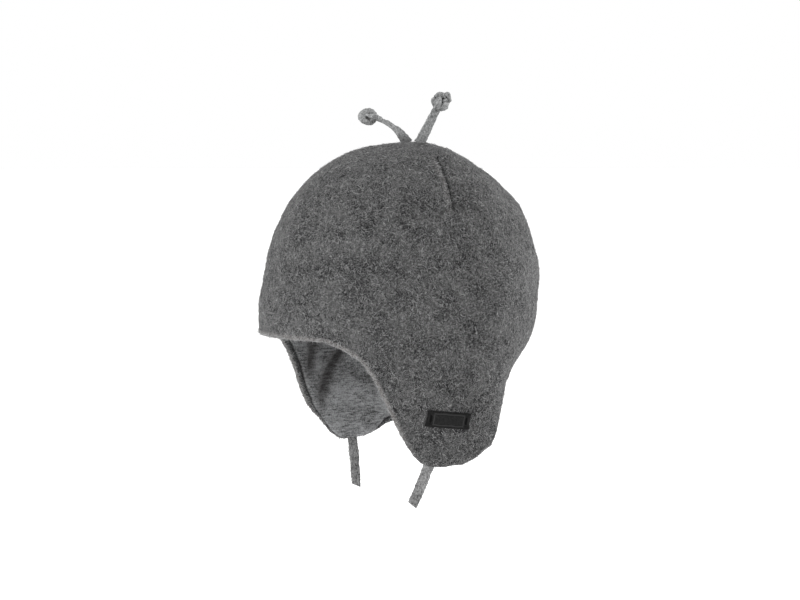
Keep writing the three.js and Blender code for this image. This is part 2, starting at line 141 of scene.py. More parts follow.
HEM_SHOULDER = ((0.05, -0.45), (0.2, -0.15), (0.5, 0.0), (0.9, 0.0))
"""Rounded end of the turned fleece: how far its face has sunk and how far up it lies, in millimetres."""


def unit(vectors: Array) -> Array:
    """Return the vectors scaled to length one."""
    return vectors / np.linalg.norm(vectors, axis=-1, keepdims=True)


def smooth_step(share: Array) -> Array:
    """Return 0 below 0, 1 above 1 and 3 t^2 - 2 t^3 between."""
    t = np.clip(share, 0, 1)
    return t * t * (3 - 2 * t)


def mix(start: Array, end: Array, share: Array) -> Array:
    """Return the value that lies a share of the way from start to end."""
    return start + (end - start) * share


def signed_angle(angle: Array) -> Array:
    """Return the same angle between -180 and 180 degrees."""
    return (np.asarray(angle) + 180) % 360 - 180


def bell(distance: Array, width: float) -> Array:
    """Return the bell curve exp(-(distance / width)^2)."""
    return np.exp(-((distance / width) ** 2))


def signed_power(values: Array, power: float) -> Array:
    """Return |value|^power with the value's own sign."""
    return np.sign(values) * np.abs(values) ** power


def facing_axes() -> Array:
    """Return the directions right, up and near as the camera sees them, in rows."""
    turn = math.radians(FACING)
    near = (math.sin(turn), -math.cos(turn), 0)
    return np.array([(math.cos(turn), math.sin(turn), 0), (0, 0, 1), near])


def random_waves(points: Array, wavelength: float, seed: int, count: int = 40) -> Array:
    """Work out a smooth random field of about one wavelength.

    The field is a sum of cosines of k . p + phase over plane waves in random directions, scaled so that
    its spread is one.

    Args:
        points: places in millimetres, with the coordinates on the last axis.
        wavelength: the typical wavelength in millimetres.
        seed: what the directions and phases are drawn from.
        count: how many plane waves are added up.

    Returns:
        One value for each point.
    """
    random = np.random.default_rng(seed)
    directions = unit(random.normal(size=(count, 3)))
    numbers = 2 * math.pi * directions / (wavelength * random.uniform(0.7, 1.4, (count, 1)))
    phases = random.uniform(0, 2 * math.pi, count)
    total = np.zeros(points.shape[:-1])
    for number, phase in zip(numbers, phases):
        total += np.cos(points @ number + phase)
    return total * math.sqrt(2 / count)


def curve_through(points: Array, count: int) -> Array:
    """Draw a smooth curve through points.

    It is the Catmull-Rom curve: between two points it is the cubic that leaves each one parallel to the
    line between that point's neighbours.

    Args:
        points: the points in order, in millimetres.
        count: how many places on the curve are returned.

    Returns:
        Places on the curve, from the first point to the last.
    """
    points = np.asarray(points, float)
    ends = np.concatenate([[2 * points[0] - points[1]], points, [2 * points[-1] - points[-2]]])
    place = np.linspace(0, len(points) - 1, count)
    k = np.minimum(place.astype(int), len(points) - 2)
    t = (place - k)[:, None]
    before, start, end, after = (ends[k + step] for step in range(4))
    square = (2 * before - 5 * start + 4 * end - after) * t**2
    cube = (3 * start - before - 3 * end + after) * t**3
    return 0.5 * (2 * start + (end - before) * t + square + cube)


def even_places(places: Array, points: Array, shares: Array) -> Array:
    """Find places at shares of a line's length, which is the sum of the chords of its points.

    Args:
        places: the place of each point on the line's own scale.
        points: the points in millimetres.
        shares: shares of the length, from 0 to 1.

    Returns:
        The places, on the same scale.
    """
    chords = np.linalg.norm(np.diff(points, axis=0), axis=-1)
    lengths = np.concatenate([[0], np.cumsum(chords)])
    return np.interp(lengths[-1] * shares, lengths, places)


@dataclass(frozen=True)
class SmoothLine:
    """A smooth line through a table's values that never swings past them."""

    places: Array
    values: Array

    @cached_property
    def tangents(self) -> Array:
        """The slope at each value: the harmonic mean of the slopes beside it, or 0 at a turning point."""
        slopes = np.diff(self.values) / np.diff(self.places)
        product = slopes[:-1] * slopes[1:]
        total = slopes[:-1] + slopes[1:]
        inner = np.where(product > 0, 2 * product / np.where(total == 0, 1, total), 0)
        return np.concatenate([slopes[:1], inner, slopes[-1:]])

    def at(self, place: Array) -> Array:
        """Work out the line: the cubic value + rise t^2 (3 - 2 t) + the pull of both slopes.

        Args:
            place: places on the table's own scale.

        Returns:
            The values there.
        """
        place = np.asarray(place, float)
        k = np.clip(np.searchsorted(self.places, place, side="left") - 1, 0, len(self.places) - 2)
        span = self.places[k + 1] - self.places[k]
        t = (place - self.places[k]) / span
        rise = self.values[k + 1] - self.values[k]
        pull = (1 - t) * self.tangents[k] - t * self.tangents[k + 1]
        return self.values[k] + rise * t * t * (3 - 2 * t) + t * (1 - t) * span * pull


@dataclass(frozen=True)
class EdgeFrame:
    """Places on the edge of the hat with their three directions: along, out of and up the cloth."""

    point: Array
    along: Array
    out: Array
    upward: Array


@dataclass(frozen=True)
class HatForm:
    """The outside of the hat as a surface of angle and depth, in millimetres and degrees."""

    width: float = 138.0
    front_reach: float = 93.6
    back_reach: float = 68.8
    brow_depth: float = 106.2
    nape_drop: float = 26.0
    flap_drop: float = 70.0
    plain_start: float = 60.0
    plain_end: float = 120.0
    corner_angle: float = -67.5
    corner_width: float = 6.0
    corner_lift: float = 3.9
    front_angle: float = -58.5
    front_width: float = 6.8
    front_fullness: float = 6.8
    top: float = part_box("shell")[1].z / MM

    @cached_property
    def reaches(self) -> dict[str, SmoothLine]:
        """Lines of the squared reach against depth, so that the crown is round at its top."""
        depths = self.level_depth(np.array(OUTLINE["level"], float))
        scales = {"side": self.width / 2, "front": self.front_reach, "back": self.back_reach}
        return {
            key: SmoothLine(depths, (np.array(OUTLINE[key]) * scale) ** 2) for key, scale in scales.items()
        }

    @cached_property
    def flap_share(self) -> SmoothLine:
        """Line of the flap's drop against the angle away from the brow."""
        return SmoothLine(np.array(FLAP_EDGE["angle"], float), np.array(FLAP_EDGE["drop"], float))

    def hem(self, key: str, angle: Array) -> Array:
        """Return how far above the edge the fleece or the lining ends inside."""
        return np.interp(np.abs(signed_angle(angle)), HEM["angle"], HEM[key])

    def level_depth(self, level: Array) -> Array:
        """Return the depth of a level: the brow depth at 1 and the flap tips at 2."""
        return np.where(level <= 1, level * self.brow_depth, self.brow_depth + (level - 1) * self.flap_drop)

    def reach(self, key: str, depth: Array) -> Array:
        """Return how far the outside reaches to the side, front or back at a depth."""
        return np.sqrt(np.maximum(self.reaches[key].at(depth), 0))

    def outside(self, angle: Array, depth: Array) -> Array:
        """Work out points of the outside: x = side sin(a), y = -reach cos(a), z = top - depth.

        Args:
            angle: angles in degrees.
            depth: depths in millimetres.

        Returns:
            Points in millimetres.
        """
        turn = np.radians(angle)
        along = np.where(np.cos(turn) > 0, self.reach("front", depth), self.reach("back", depth))
        x = self.reach("side", depth) * np.sin(turn)
        return np.stack([x, -along * np.cos(turn), self.top - depth + 0 * x], -1)

    def slopes(self, angle: Array, depth: Array) -> tuple[Array, Array]:
        """Work out the slopes of the outside, each from the difference between two places close by.

        Args:
            angle: angles in degrees.
            depth: depths in millimetres.

        Returns:
            How a point moves with a degree of angle and with a millimetre of depth.
        """
        turn = 0.5
        step = np.minimum(0.5, depth / 2)
        around = self.outside(angle + turn, depth) - self.outside(angle - turn, depth)
        down = self.outside(angle, depth + step) - self.outside(angle, depth - step)
        return around / (2 * turn), down / (2 * step)[..., None]

    def outward(self, angle: Array, depth: Array) -> Array:
        """Return the direction out of the cloth: the cross product of the two slopes."""
        around, down = self.slopes(angle, depth)
        return unit(np.cross(down, around))

    def edge_depth(self, angle: Array) -> Array:
        """Work out the depth of the edge.

        It is the plain edge, which drops towards the nape, plus the flap's share of the way to its tip.
        Two bell curves shape the right flap as it hangs: its front edge is fuller and its front corner is
        lifted a little.

        Args:
            angle: angles in degrees.

        Returns:
            Depths in millimetres.
        """
        signed = signed_angle(angle)
        away = np.abs(signed)
        nape = smooth_step((away - self.plain_start) / (self.plain_end - self.plain_start))
        plain = self.brow_depth + self.nape_drop * nape
        tip = self.brow_depth + self.flap_drop
        lift = self.corner_lift * bell(signed - self.corner_angle, self.corner_width)
        fullness = self.front_fullness * bell(signed - self.front_angle, self.front_width)
        return plain + self.flap_share.at(away) * (tip - plain) - lift + fullness

    def edge(self, angle: Array) -> EdgeFrame:
        """Work out the frame of the edge, from places half a degree ahead and behind.

        Args:
            angle: angles in degrees.

        Returns:
            The frame at each angle, whose way up is the cross product of the ways out and along.
        """
        step = 0.5
        ahead = self.outside(angle + step, self.edge_depth(angle + step))
        behind = self.outside(angle - step, self.edge_depth(angle - step))
        along = unit(ahead - behind)
        out = self.outward(angle, self.edge_depth(angle))
        return EdgeFrame(self.outside(angle, self.edge_depth(angle)), along, out, unit(np.cross(out, along)))

    def inset(self, angle: Array, distance: Array) -> tuple[Array, Array]:
        """Find the angle and depth a distance up the cloth from the edge.

        The step up the cloth is split into the surface's two slopes by solving the two by two system of
        their products for its least difference.

        Args:
            angle: angles of the edge in degrees.
            distance: how far up the cloth at each angle, in millimetres.

        Returns:
            The angles and the depths of the inset places.
        """
        depth = self.edge_depth(angle)
        around, down = self.slopes(angle, depth)
        target = self.edge(angle).upward * distance[:, None]
        aa, ad, dd = (around * around).sum(-1), (around * down).sum(-1), (down * down).sum(-1)
        ta, td = (target * around).sum(-1), (target * down).sum(-1)
        scale = 1 / (aa * dd - ad * ad)
        return angle + scale * (ta * dd - td * ad), depth + scale * (td * aa - ta * ad)

    def even_edge_angles(self, count: int) -> Array:
        """Return angles evenly spaced along the edge."""
        fine = np.linspace(0, 360, 1441)
        return even_places(fine, self.outside(fine, self.edge_depth(fine)), np.arange(count) / count)

    def even_crown_depths(self, last: float, count: int) -> Array:
        """Return depths evenly spaced down the side of the crown."""
        fine = last * np.linspace(0, 1, 801) ** 2
        return even_places(fine, self.outside(90 + 0 * fine, fine), np.arange(1, count + 1) / count)


@dataclass
class Body:
    """A closed mesh in the making: points in millimetres, faces by corner, and values by point."""

    points: Array
    quads: Array
    triangles: Array
    attributes: dict[str, Array] = field(default_factory=dict)

    def volume(self) -> float:
        """Return the volume inside the faces, by adding up the tetrahedra to the origin."""
        split = np.concatenate([self.quads[:, [0, 1, 2]], self.quads[:, [0, 2, 3]], self.triangles])
        a, b, c = (self.points[split[:, k]] for k in range(3))
        return float((a * np.cross(b, c)).sum() / 6)

    def outwards(self) -> "Body":
        """Return the body with its faces turned so that they point out."""
        if self.volume() >= 0:
            return self
        return Body(self.points, self.quads[:, ::-1], self.triangles[:, ::-1], self.attributes)


def ring_body(rings: Array, first: Array, last: Array) -> Body:
    """Close a stack of rings into one body.

    Point k of a ring joins points k and k + 1 of the next ring as a four-cornered face, and a fan of
    triangles runs to the first and to the last point.

    Args:
        rings: points in millimetres, by ring, by place round the ring and by coordinate.
        first: the point that closes the first ring.
        last: the point that closes the last ring.

    Returns:
        The closed body with its faces pointing out.
    """
    rows, count = rings.shape[:2]
    points = np.concatenate([rings.reshape(-1, 3), [first, last]])
    row, k = np.meshgrid(np.arange(rows - 1), np.arange(count), indexing="ij")
    ahead = (k + 1) % count
    corners = [row * count + k, (row + 1) * count + k, (row + 1) * count + ahead, row * count + ahead]
    k = np.arange(count)
    ahead = (k + 1) % count
    start, end, lower = rows * count + 0 * k, rows * count + 1 + 0 * k, (rows - 1) * count
    fans = [np.stack([start, k, ahead], -1), np.stack([end, lower + ahead, lower + k], -1)]
    return Body(points, np.stack(corners, -1).reshape(-1, 4), np.concatenate(fans)).outwards()


def join_bodies(bodies: list[Body]) -> Body:
    """Join bodies, each of which stays closed by itself.

    Args:
        bodies: bodies with attributes of the same names.

    Returns:
        One body that holds them all.
    """
    starts = np.cumsum([0] + [len(body.points) for body in bodies[:-1]])
    return Body(
        np.concatenate([body.points for body in bodies]),
        np.concatenate([body.quads + start for body, start in zip(bodies, starts)]),
        np.concatenate([body.triangles + start for body, start in zip(bodies, starts)]),
        {name: np.concatenate([body.attributes[name] for body in bodies]) for name in bodies[0].attributes},
    )


@dataclass(frozen=True)
class Strip:
    """A folded cloth strip carried along a line, with rolled edges, pressed folds and crumples."""

    path: Array
    across: Array
    half_width: Array
    half_thickness: Array
    seed: int
    crumple: float = 0.1
    groove: float = 0.25
    sides: int = 32
    slant: float = 0.0
    squareness: float = 0.6
    groove_place: float = 0.6
    lump: float = 2.6
    cut_share: float = 0.2

    def body(self) -> Body:
        """Build the strip.

        Its section is a flattened ring: the width goes with |cos|^0.6 and the thickness with |sin|^0.6,
        a little thinner in the middle and pressed in along two lines near the edges. The last fifth is
        drawn along the line on one side by the slant, so that the end is cut askew.

        Returns:
            The closed strip.
        """
        along = unit(np.gradient(self.path, axis=0))
        across = unit(self.across - along * (self.across * along).sum(-1, keepdims=True))
        face = np.cross(along, across)
        turn = 2 * math.pi * (np.arange(self.sides) + 0.5) / self.sides
        wide = signed_power(np.cos(turn), self.squareness)
        pressed = 0.8 + 0.2 * wide**2 - self.groove * bell(np.abs(wide) - self.groove_place, 0.13)
        thick = signed_power(np.sin(turn), self.squareness) * pressed
        width = np.broadcast_to(self.half_width, len(self.path))[:, None]
        thickness = np.broadcast_to(self.half_thickness, len(self.path))[:, None]
        offset = across[:, None] * (wide * width)[..., None] + face[:, None] * (thick * thickness)[..., None]
        share = np.linspace(0, 1, len(self.path))[:, None]
        askew = self.slant * smooth_step(1 - (1 - share) / self.cut_share) * wide * width
        rings = self.path[:, None] + offset + along[:, None] * askew[..., None]
        lumps = random_waves(rings, self.lump, self.seed)
        lumps = lumps + 0.5 * random_waves(rings, self.lump / 2, self.seed + 1)
        rings = rings + unit(offset) * (self.crumple * lumps)[..., None]
        return ring_body(rings, rings[0].mean(0), rings[-1].mean(0))


def linear_colour(srgb: int) -> tuple[float, float, float, float]:
    """Turn an sRGB hex value into a linear colour with full alpha.

    Each channel c below 0.04045 becomes c / 12.92, and any other ((c + 0.055) / 1.055) ^ 2.4.

    Args:
        srgb: the colour as 0xRRGGBB.

    Returns:
        Red, green, blue and alpha, from 0 to 1.
    """
    channels = [(srgb >> shift & 0xFF) / 255 for shift in (16, 8, 0)]
    linear = [c / 12.92 if c < 0.04045 else ((c + 0.055) / 1.055) ** 2.4 for c in channels]
    return (*linear, 1.0)


class NodeMaterial:
    """A material in the making, with a short method for each kind of node."""

    def __init__(self, name: str) -> None:
        """Start the material without nodes.

        Args:
            name: the material's name.
        """
        self.material = bpy.data.materials.new(name)
        self.material.use_nodes = True
        self.tree = self.material.node_tree
        self.tree.nodes.clear()

    @cached_property
    def place(self) -> Socket:
        """Object coordinates, in metres."""
        return self.add("TexCoord", {}).outputs["Object"]

    def add(self, kind: str, inputs: dict, **settings: object) -> bpy.types.Node:
        """Add one node with its settings and links.

        Args:
            kind: the node's type, without the words ShaderNode in front.
            inputs: by name or number, an output socket to link or a value to set.
            settings: properties of the node, by name.

        Returns:
            The new node.
        """
        node = self.tree.nodes.new("ShaderNode" + kind)
        for name, value in settings.items():
            setattr(node, name, value)
        for name, value in inputs.items():
            if isinstance(value, Socket):
                self.tree.links.new(value, node.inputs[name])
            else:
                node.inputs[name].default_value = value
        return node

    def attribute(self, name: str) -> Socket:
        """Return the values of a mesh attribute."""
        return self.add("Attribute", {}, attribute_name=name).outputs["Fac"]

    def noise(self, size: float, detail: float, roughness: float = 0.5, distortion: float = 0.0,
              place: Socket | None = None) -> Socket:
        """Return a noise with lumps of a size in millimetres, on Object coordinates or another place."""
        return self.add("TexNoise", {
            "Vector": place or self.place, "Scale": 1 / (size * MM), "Detail": detail,
            "Roughness": roughness, "Distortion": distortion,
        }).outputs[0]

    def math(self, operation: str, *values: Socket | float) -> Socket:
        """Return the result of a Math node."""
        return self.add("Math", dict(enumerate(values)), operation=operation).outputs[0]

    def remap(self, value: Socket, start: float, end: float, low: float = 0.0,
              high: float = 1.0) -> Socket:
        """Return a value moved from the range start to end to the range low to high, and kept in it."""
        return self.add("MapRange", {0: value, 1: start, 2: end, 3: low, 4: high}).outputs[0]

    def blend(self, share: Socket, *colours: Socket | int) -> Socket:
        """Return the colour a share of the way between two, each a socket or an sRGB value."""
        start, end = (linear_colour(c) if isinstance(c, int) else c for c in colours)
        return self.add("Mix", {0: share, 6: start, 7: end}, data_type="RGBA").outputs[2]

    def bump(self, height: Socket, strength: float, distance: float) -> Socket:
        """Return the normal of a relief whose full height is a distance in millimetres."""
        inputs = {"Height": height, "Strength": strength, "Distance": distance * MM}
        return self.add("Bump", inputs).outputs[0]

    def finish(self, colour: Socket | tuple, roughness: float, specular: float,
               others: dict) -> bpy.types.Material:
        """Add the shader and the output.

        Args:
            colour: its base colour, as a socket or a linear colour.
            roughness: its roughness.
            specular: how strongly it mirrors.
            others: its further inputs, by name.

        Returns:
            The finished material.
        """
        shader = self.add("BsdfPrincipled", {
            "Base Color": colour, "Roughness": roughness, "Specular IOR Level": specular, **others,
        })
        self.add("OutputMaterial", {"Surface": shader.outputs[0]})
        return self.material


@dataclass(frozen=True)
class FeltedFleece:
    """Wool fleece, felted and brushed: dark felt with paler curly strands on it, matt, with a nap.

    To the eye it is a mottled mid grey without gloss, a little paler where it turns away.
    """

    dark: int = 0x212122
    light: int = 0x4E4E4E
    strand: int = 0x9C9C9C
    # Pale warm tint along the turned edge, partly paler yarn and partly painted highlight; also the painted
    # highlight on each dart's ridge.
    rim: int = 0x9C9896
    # Painted shade at the bottom of creases, inside the hem and beside the strips' feet.
    crease: int = 0x161616
    sheen: int = 0xC8C8C8
    tuft: float = 2.2
    grain: float = 0.9
    curl: float = 1.7
    blotch: float = 11.5
    grain_weight: float = 1.4
    blotch_weight: float = 1.1
    felt_range: tuple[float, float] = (1.555, 1.94)
    strand_reach: float = 0.045
    strand_share: float = 0.75

    def material(self) -> bpy.types.Material:
        """Build the fleece material.

        Three noises on Object coordinates are added: grain, tufts and large blotches. Their sum runs
        from the dark to the light yarn. Where a fourth noise crosses its middle value, a pale strand
        runs as a thin curly line. The edge attribute blends in a pale warm tint: along the turned edge
        it is partly paler yarn and partly painted highlight, and on each dart's ridge it is a painted
        highlight. The fold attribute paints shade into the bottom of a crease, inside the hem and
        beside the strips' feet.

        Returns:
            The material.
        """
        nodes = NodeMaterial("felted_wool_fleece")
        tuft = nodes.noise(self.tuft, 3.0, 0.65, 0.8)
        grain = nodes.noise(self.grain, 2.0, 0.7)
        blotch = nodes.noise(self.blotch, 3.0)
        fine = nodes.math("MULTIPLY_ADD", grain, self.grain_weight, tuft)
        total = nodes.math("MULTIPLY_ADD", blotch, self.blotch_weight, fine)
        felt = nodes.blend(nodes.remap(total, *self.felt_range), self.dark, self.light)
        curls = nodes.noise(self.curl, 1.5, distortion=1.4)
        away = nodes.math("ABSOLUTE", nodes.math("SUBTRACT", curls, 0.5))
        line = nodes.remap(away, self.strand_reach, 0.0, 0.0, self.strand_share)
        yarn = nodes.blend(line, felt, self.strand)
        # Painted highlight: the edge attribute, broken up by the grain, blends in the pale warm rim tint
        # (partly paler yarn on the turned edge, painted highlight on the dart ridges).
        speckle = nodes.remap(grain, 0.36, 0.64, 0.15, 1.0)
        edge = nodes.math("MULTIPLY", nodes.attribute("edge"), speckle)
        rimmed = nodes.blend(edge, yarn, self.rim)
        # Painted shade: the fold attribute darkens creases, the inside of the hem and the hollow beside the
        # strips' feet.
        colour = nodes.blend(nodes.attribute("fold"), rimmed, self.crease)
        return nodes.finish(colour, 1.0, 0.1, {
            "Normal": nodes.bump(nodes.math("MULTIPLY_ADD", line, 0.5, fine), 0.8, 0.7),
            "Sheen Weight": 0.3, "Sheen Roughness": 0.3, "Sheen Tint": linear_colour(self.sheen),
        })


@dataclass(frozen=True)
class NapFibre:
    """Loose wool fibres of the nap: matt, from dark grey to nearly white, each of one shade."""

    dark: int = 0x222223
    light: int = 0xB4B4B4

    def material(self) -> bpy.types.Material:
        """Build the fibre material: the shade attribute runs from the dark to the light fibre.

        Returns:
            The material.
        """
        nodes = NodeMaterial("wool_nap_fibre")
        colour = nodes.blend(nodes.attribute("shade"), self.dark, self.light)
        return nodes.finish(colour, 1.0, 0.1, {"Sheen Weight": 0.15, "Sheen Roughness": 0.5})


@dataclass(frozen=True)
class MelangeJersey:
    """Fine cotton jersey of mixed grey yarn: short pale and dark dashes along its knitted rows."""

    name: str
    dark: int
    light: int
    dash: float
    course: float
    # Warm painted shade for the bottom of pleats, the lining's seam and the knots' crevices.
    valley: int = 0x2E2B2B
    grain: float = 0.8
    cloud: float = 14.0
    yarn_range: tuple[float, float] = (0.94, 1.36)

    def material(self) -> bpy.types.Material:
        """Build the jersey material.

        A noise on Object coordinates is stretched sideways to dashes, which are as long as the yarn
        shows one shade and as high as a knitted row. Finer grain and a soft cloud are added. The fold
        attribute paints shade into the bottom of a pleat, a seam or a knot's crevice.

        Returns:
            The material.
        """
        nodes = NodeMaterial(self.name)
        stretch = (1, 1, self.dash / self.course)
        courses = nodes.add("Mapping", {"Vector": nodes.place, "Scale": stretch}).outputs[0]
        yarn = nodes.noise(self.dash, 3.0, 0.7, place=courses)
        mottle = nodes.math("MULTIPLY_ADD", nodes.noise(self.grain, 2.0, 0.6), 0.8, yarn)
        total = nodes.math("MULTIPLY_ADD", nodes.noise(self.cloud, 2.0), 0.5, mottle)
        yarns = nodes.blend(nodes.remap(total, *self.yarn_range), self.dark, self.light)
        # Painted shade: the fold attribute darkens pleats, seams and crevices towards the valley colour.
        colour = nodes.blend(nodes.attribute("fold"), yarns, self.valley)
        return nodes.finish(colour, 0.95, 0.15, {
            "Normal": nodes.bump(mottle, 0.5, 0.3), "Sheen Weight": 0.12, "Sheen Roughness": 0.4,
        })


@dataclass(frozen=True)
class WovenTape:
    """Black woven polyester tape: dense fine ribs, a plain paler border and a faint satin gleam."""

    dark: int = 0x020202
    light: int = 0x242424
    border: int = 0x3C3C3C
    grain: float = 0.7
    tape_range: tuple[float, float] = (0.4, 0.95)

    def material(self) -> bpy.types.Material:
        """Build the tape material: the rib attribute makes the ribs and the border attribute the frame.

        Returns:
            The material.
        """
        nodes = NodeMaterial("woven_polyester_tape")
        grain = nodes.noise(self.grain, 2.0, 0.6)
        total = nodes.math("MULTIPLY_ADD", nodes.attribute("rib"), 0.3, grain)
        ground = nodes.blend(nodes.remap(total, *self.tape_range), self.dark, self.light)
        colour = nodes.blend(nodes.attribute("border"), ground, self.border)
        return nodes.finish(colour, 0.7, 0.08, {"Normal": nodes.bump(total, 0.6, 0.3)})


@dataclass(frozen=True)
class SewingThread:
    """Black polyester thread: dark with a soft gleam along each stitch."""

    colour: int = 0x040404

    def material(self) -> bpy.types.Material:
        """Return the thread material."""
        return NodeMaterial("black_sewing_thread").finish(linear_colour(self.colour), 0.6, 0.08, {})


@dataclass(frozen=True)
class LitAcrylic:
    """White acrylic of a product table, lit from below: an even white without a horizon."""

    colour: int = 0xF4F4F4
    glow: float = 0.3

    def material(self) -> bpy.types.Material:
        """Return the table's material, which glows a little all over."""
        light = {"Emission Color": (1, 1, 1, 1), "Emission Strength": self.glow}
        return NodeMaterial("lit_white_acrylic").finish(linear_colour(self.colour), 0.8, 0.2, light)


def make_piece(name: str, body: Body, material: bpy.types.Material) -> bpy.types.Object:
    """Put a body into a mesh object of the hat.

    Args:
        name: the piece's name.
        body: its points and faces.
        material: what it is made of.

    Returns:
        The new object, which rides on the hat's one body.
    """
    mesh = bpy.data.meshes.new(name)
    quads, triangles = len(body.quads), len(body.triangles)
    corners = np.concatenate([body.quads.ravel(), body.triangles.ravel()]).astype(np.int32)
    sizes = np.concatenate([np.full(quads, 4), np.full(triangles, 3)]).astype(np.int32)
    mesh.vertices.add(len(body.points))
    mesh.vertices.foreach_set("co", (body.points * MM).astype(np.float32).ravel())
    mesh.loops.add(len(corners))
    mesh.loops.foreach_set("vertex_index", corners)
    mesh.polygons.add(quads + triangles)
    mesh.polygons.foreach_set("loop_start", np.concatenate([[0], np.cumsum(sizes)[:-1]]).astype(np.int32))
    mesh.polygons.foreach_set("use_smooth", np.ones(quads + triangles, bool))
    for key, values in body.attributes.items():
        mesh.attributes.new(key, "FLOAT", "POINT").data.foreach_set("value", values.astype(np.float32))
    mesh.update(calc_edges=True)
    mesh.validate()
    mesh.materials.append(material)
    piece = bpy.data.objects.new(name, mesh)
    bpy.context.scene.collection.objects.link(piece)
    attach(piece, "root")
    LOG.info("%s: %d faces", name, quads + triangles)
    return piece


@dataclass(frozen=True)
class WovenLabel:
    """The bare woven label on the left flap, held by a bar of stitches at each end."""

    form: HatForm
    corner_angles: tuple[float, ...] = (73.2, 89.5, 88.7, 72.2)
    corner_depths: tuple[float, ...] = (143.6, 146.7, 155.7, 152.6)
    thickness: float = 0.8
    length: float = 25.6
    height: float = 9.2
    pinch: float = 1.4
    bar_inset: float = 2.5
    bar_height: float = 3.6
    bar_width: float = 1.5
    bar_depth: float = 0.4
    bulge: float = 0.35
    lift: float = 0.6
    frame_inset: tuple[float, float] = (3.2, 0.6)
    rib_pitch: float = 0.75
    stitches: int = 9
    rows: int = 140
    sides: int = 80

    def covers(self, angle: Array, depth: Array) -> Array:
        """Find the places on the fleece that lie under the label.

        Args:
            angle: angles in degrees.
            depth: depths in millimetres.

        Returns:
            Whether each place lies under it.
        """
        (left, right), (high, low) = self.corner_angles[:2], self.corner_depths[:2]
        along = (signed_angle(angle) - left) / (right - left)
        down = (depth - mix(high, low, along)) / (self.corner_depths[2] - low)
        return (along > -0.01) & (along < 1.0) & (down > -0.02) & (down < 1.02)

    def surface(self, along: Array, down: Array, off: Array) -> Array:
        """Return points over the label.

        Angle and depth are mixed bilinearly between the four corners.

        Args:
            along: place along the label, -1 at its front end and 1 at its back end.
            down: place across it, -1 at its top and 1 at its foot.
            off: height over the fleece in millimetres.

        Returns:
            Points in millimetres.
        """
        s, t = (along + 1) / 2, (down + 1) / 2
        corners = [self.corner_angles, self.corner_depths]
        angle, depth = (mix(mix(c[0], c[1], s), mix(c[3], c[2], s), t) for c in corners)
        return self.form.outside(angle, depth) + self.form.outward(angle, depth) * off[..., None]

    def tape(self) -> Body:
        """Build the tape.

        Its section is a flattened ring of |cos|^0.35 and |sin|^0.5. It is bulged a little, drawn in at
        its ends with the fifth power of the place along it, and pressed down under the bars.

        Returns:
            The closed tape, with its border and its ribs as attributes.
        """
        turn = 2 * math.pi * (np.arange(self.sides) + 0.5) / self.sides
        down, thick = signed_power(np.cos(turn), 0.35), signed_power(np.sin(turn), 0.5)
        share = np.linspace(-1, 1, self.rows)[:, None]
        drawn = self.pinch * 2 / self.length * (1 - down**2) * np.abs(share) ** 5
        along = share - np.sign(share) * drawn
        bar = 1 - 2 * self.bar_inset / self.length
        pressed = bell((np.abs(share) - bar) * self.length / 2, 1.1) * bell(down * self.height / 2, 2.4)
        bulge = self.bulge * (1 - share**4) * (1 - down**4) - self.bar_depth * pressed
        off = self.lift + bulge + thick * self.thickness / 2
        places = np.stack([share * self.length / 2 + 0 * down, down * self.height / 2 + 0 * share, off], -1)
        rings = self.surface(along, down + 0.012 * random_waves(places, 5, 81), off)
        body = ring_body(rings, rings[0].mean(0), rings[-1].mean(0))
        from_end = (1 - np.abs(share)) * self.length / 2
        from_side = (1 - np.abs(down)) * self.height / 2
        inset = np.minimum(from_end - self.frame_inset[0], from_side - self.frame_inset[1])
        border = 0.75 * bell(inset - 0.9, 0.28) * (from_end > self.frame_inset[0]) * (thick > 0)
        rib = 0.5 + 0.5 * np.sin(2 * math.pi * from_side / self.rib_pitch) + 0 * share
        body.attributes["border"] = np.append(border.ravel(), [0, 0])
        body.attributes["rib"] = np.append(rib.ravel(), [0, 0])
        return body

    def bar(self, end: int) -> list[Body]:
        """Build the satin stitches of one bar, each a short thread across the bar.

        Args:
            end: the end of the label that the bar lies at, -1 in front and 1 behind.

        Returns:
            The stitches.
        """
        bodies = []
        across = np.linspace(-1, 1, 9)
        along = end * (1 - 2 * self.bar_inset / self.length) + across * self.bar_width / self.length
        for stitch in range(self.stitches):
            down = mix(-1, 1, stitch / (self.stitches - 1)) * self.bar_height / self.height
            path = self.surface(along, down + 0.05 * across, 1.1 - 0.45 * across**4)
            direction = np.broadcast_to([0.0, 0.0, 1.0], path.shape)
            bodies.append(Strip(path, direction, 0.24, 0.2, 90, crumple=0.0, groove=0.0, sides=8).body())
        return bodies

    def build(self) -> list[bpy.types.Object]:
        """Build the tape and its stitches.

        Returns:
            Both pieces.
        """
        tape = make_piece("label_tape", self.tape(), WovenTape().material())
        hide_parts("label")
        thread = join_bodies(self.bar(-1) + self.bar(1))
        return [tape, make_piece("label_stitches", thread, SewingThread().material())]


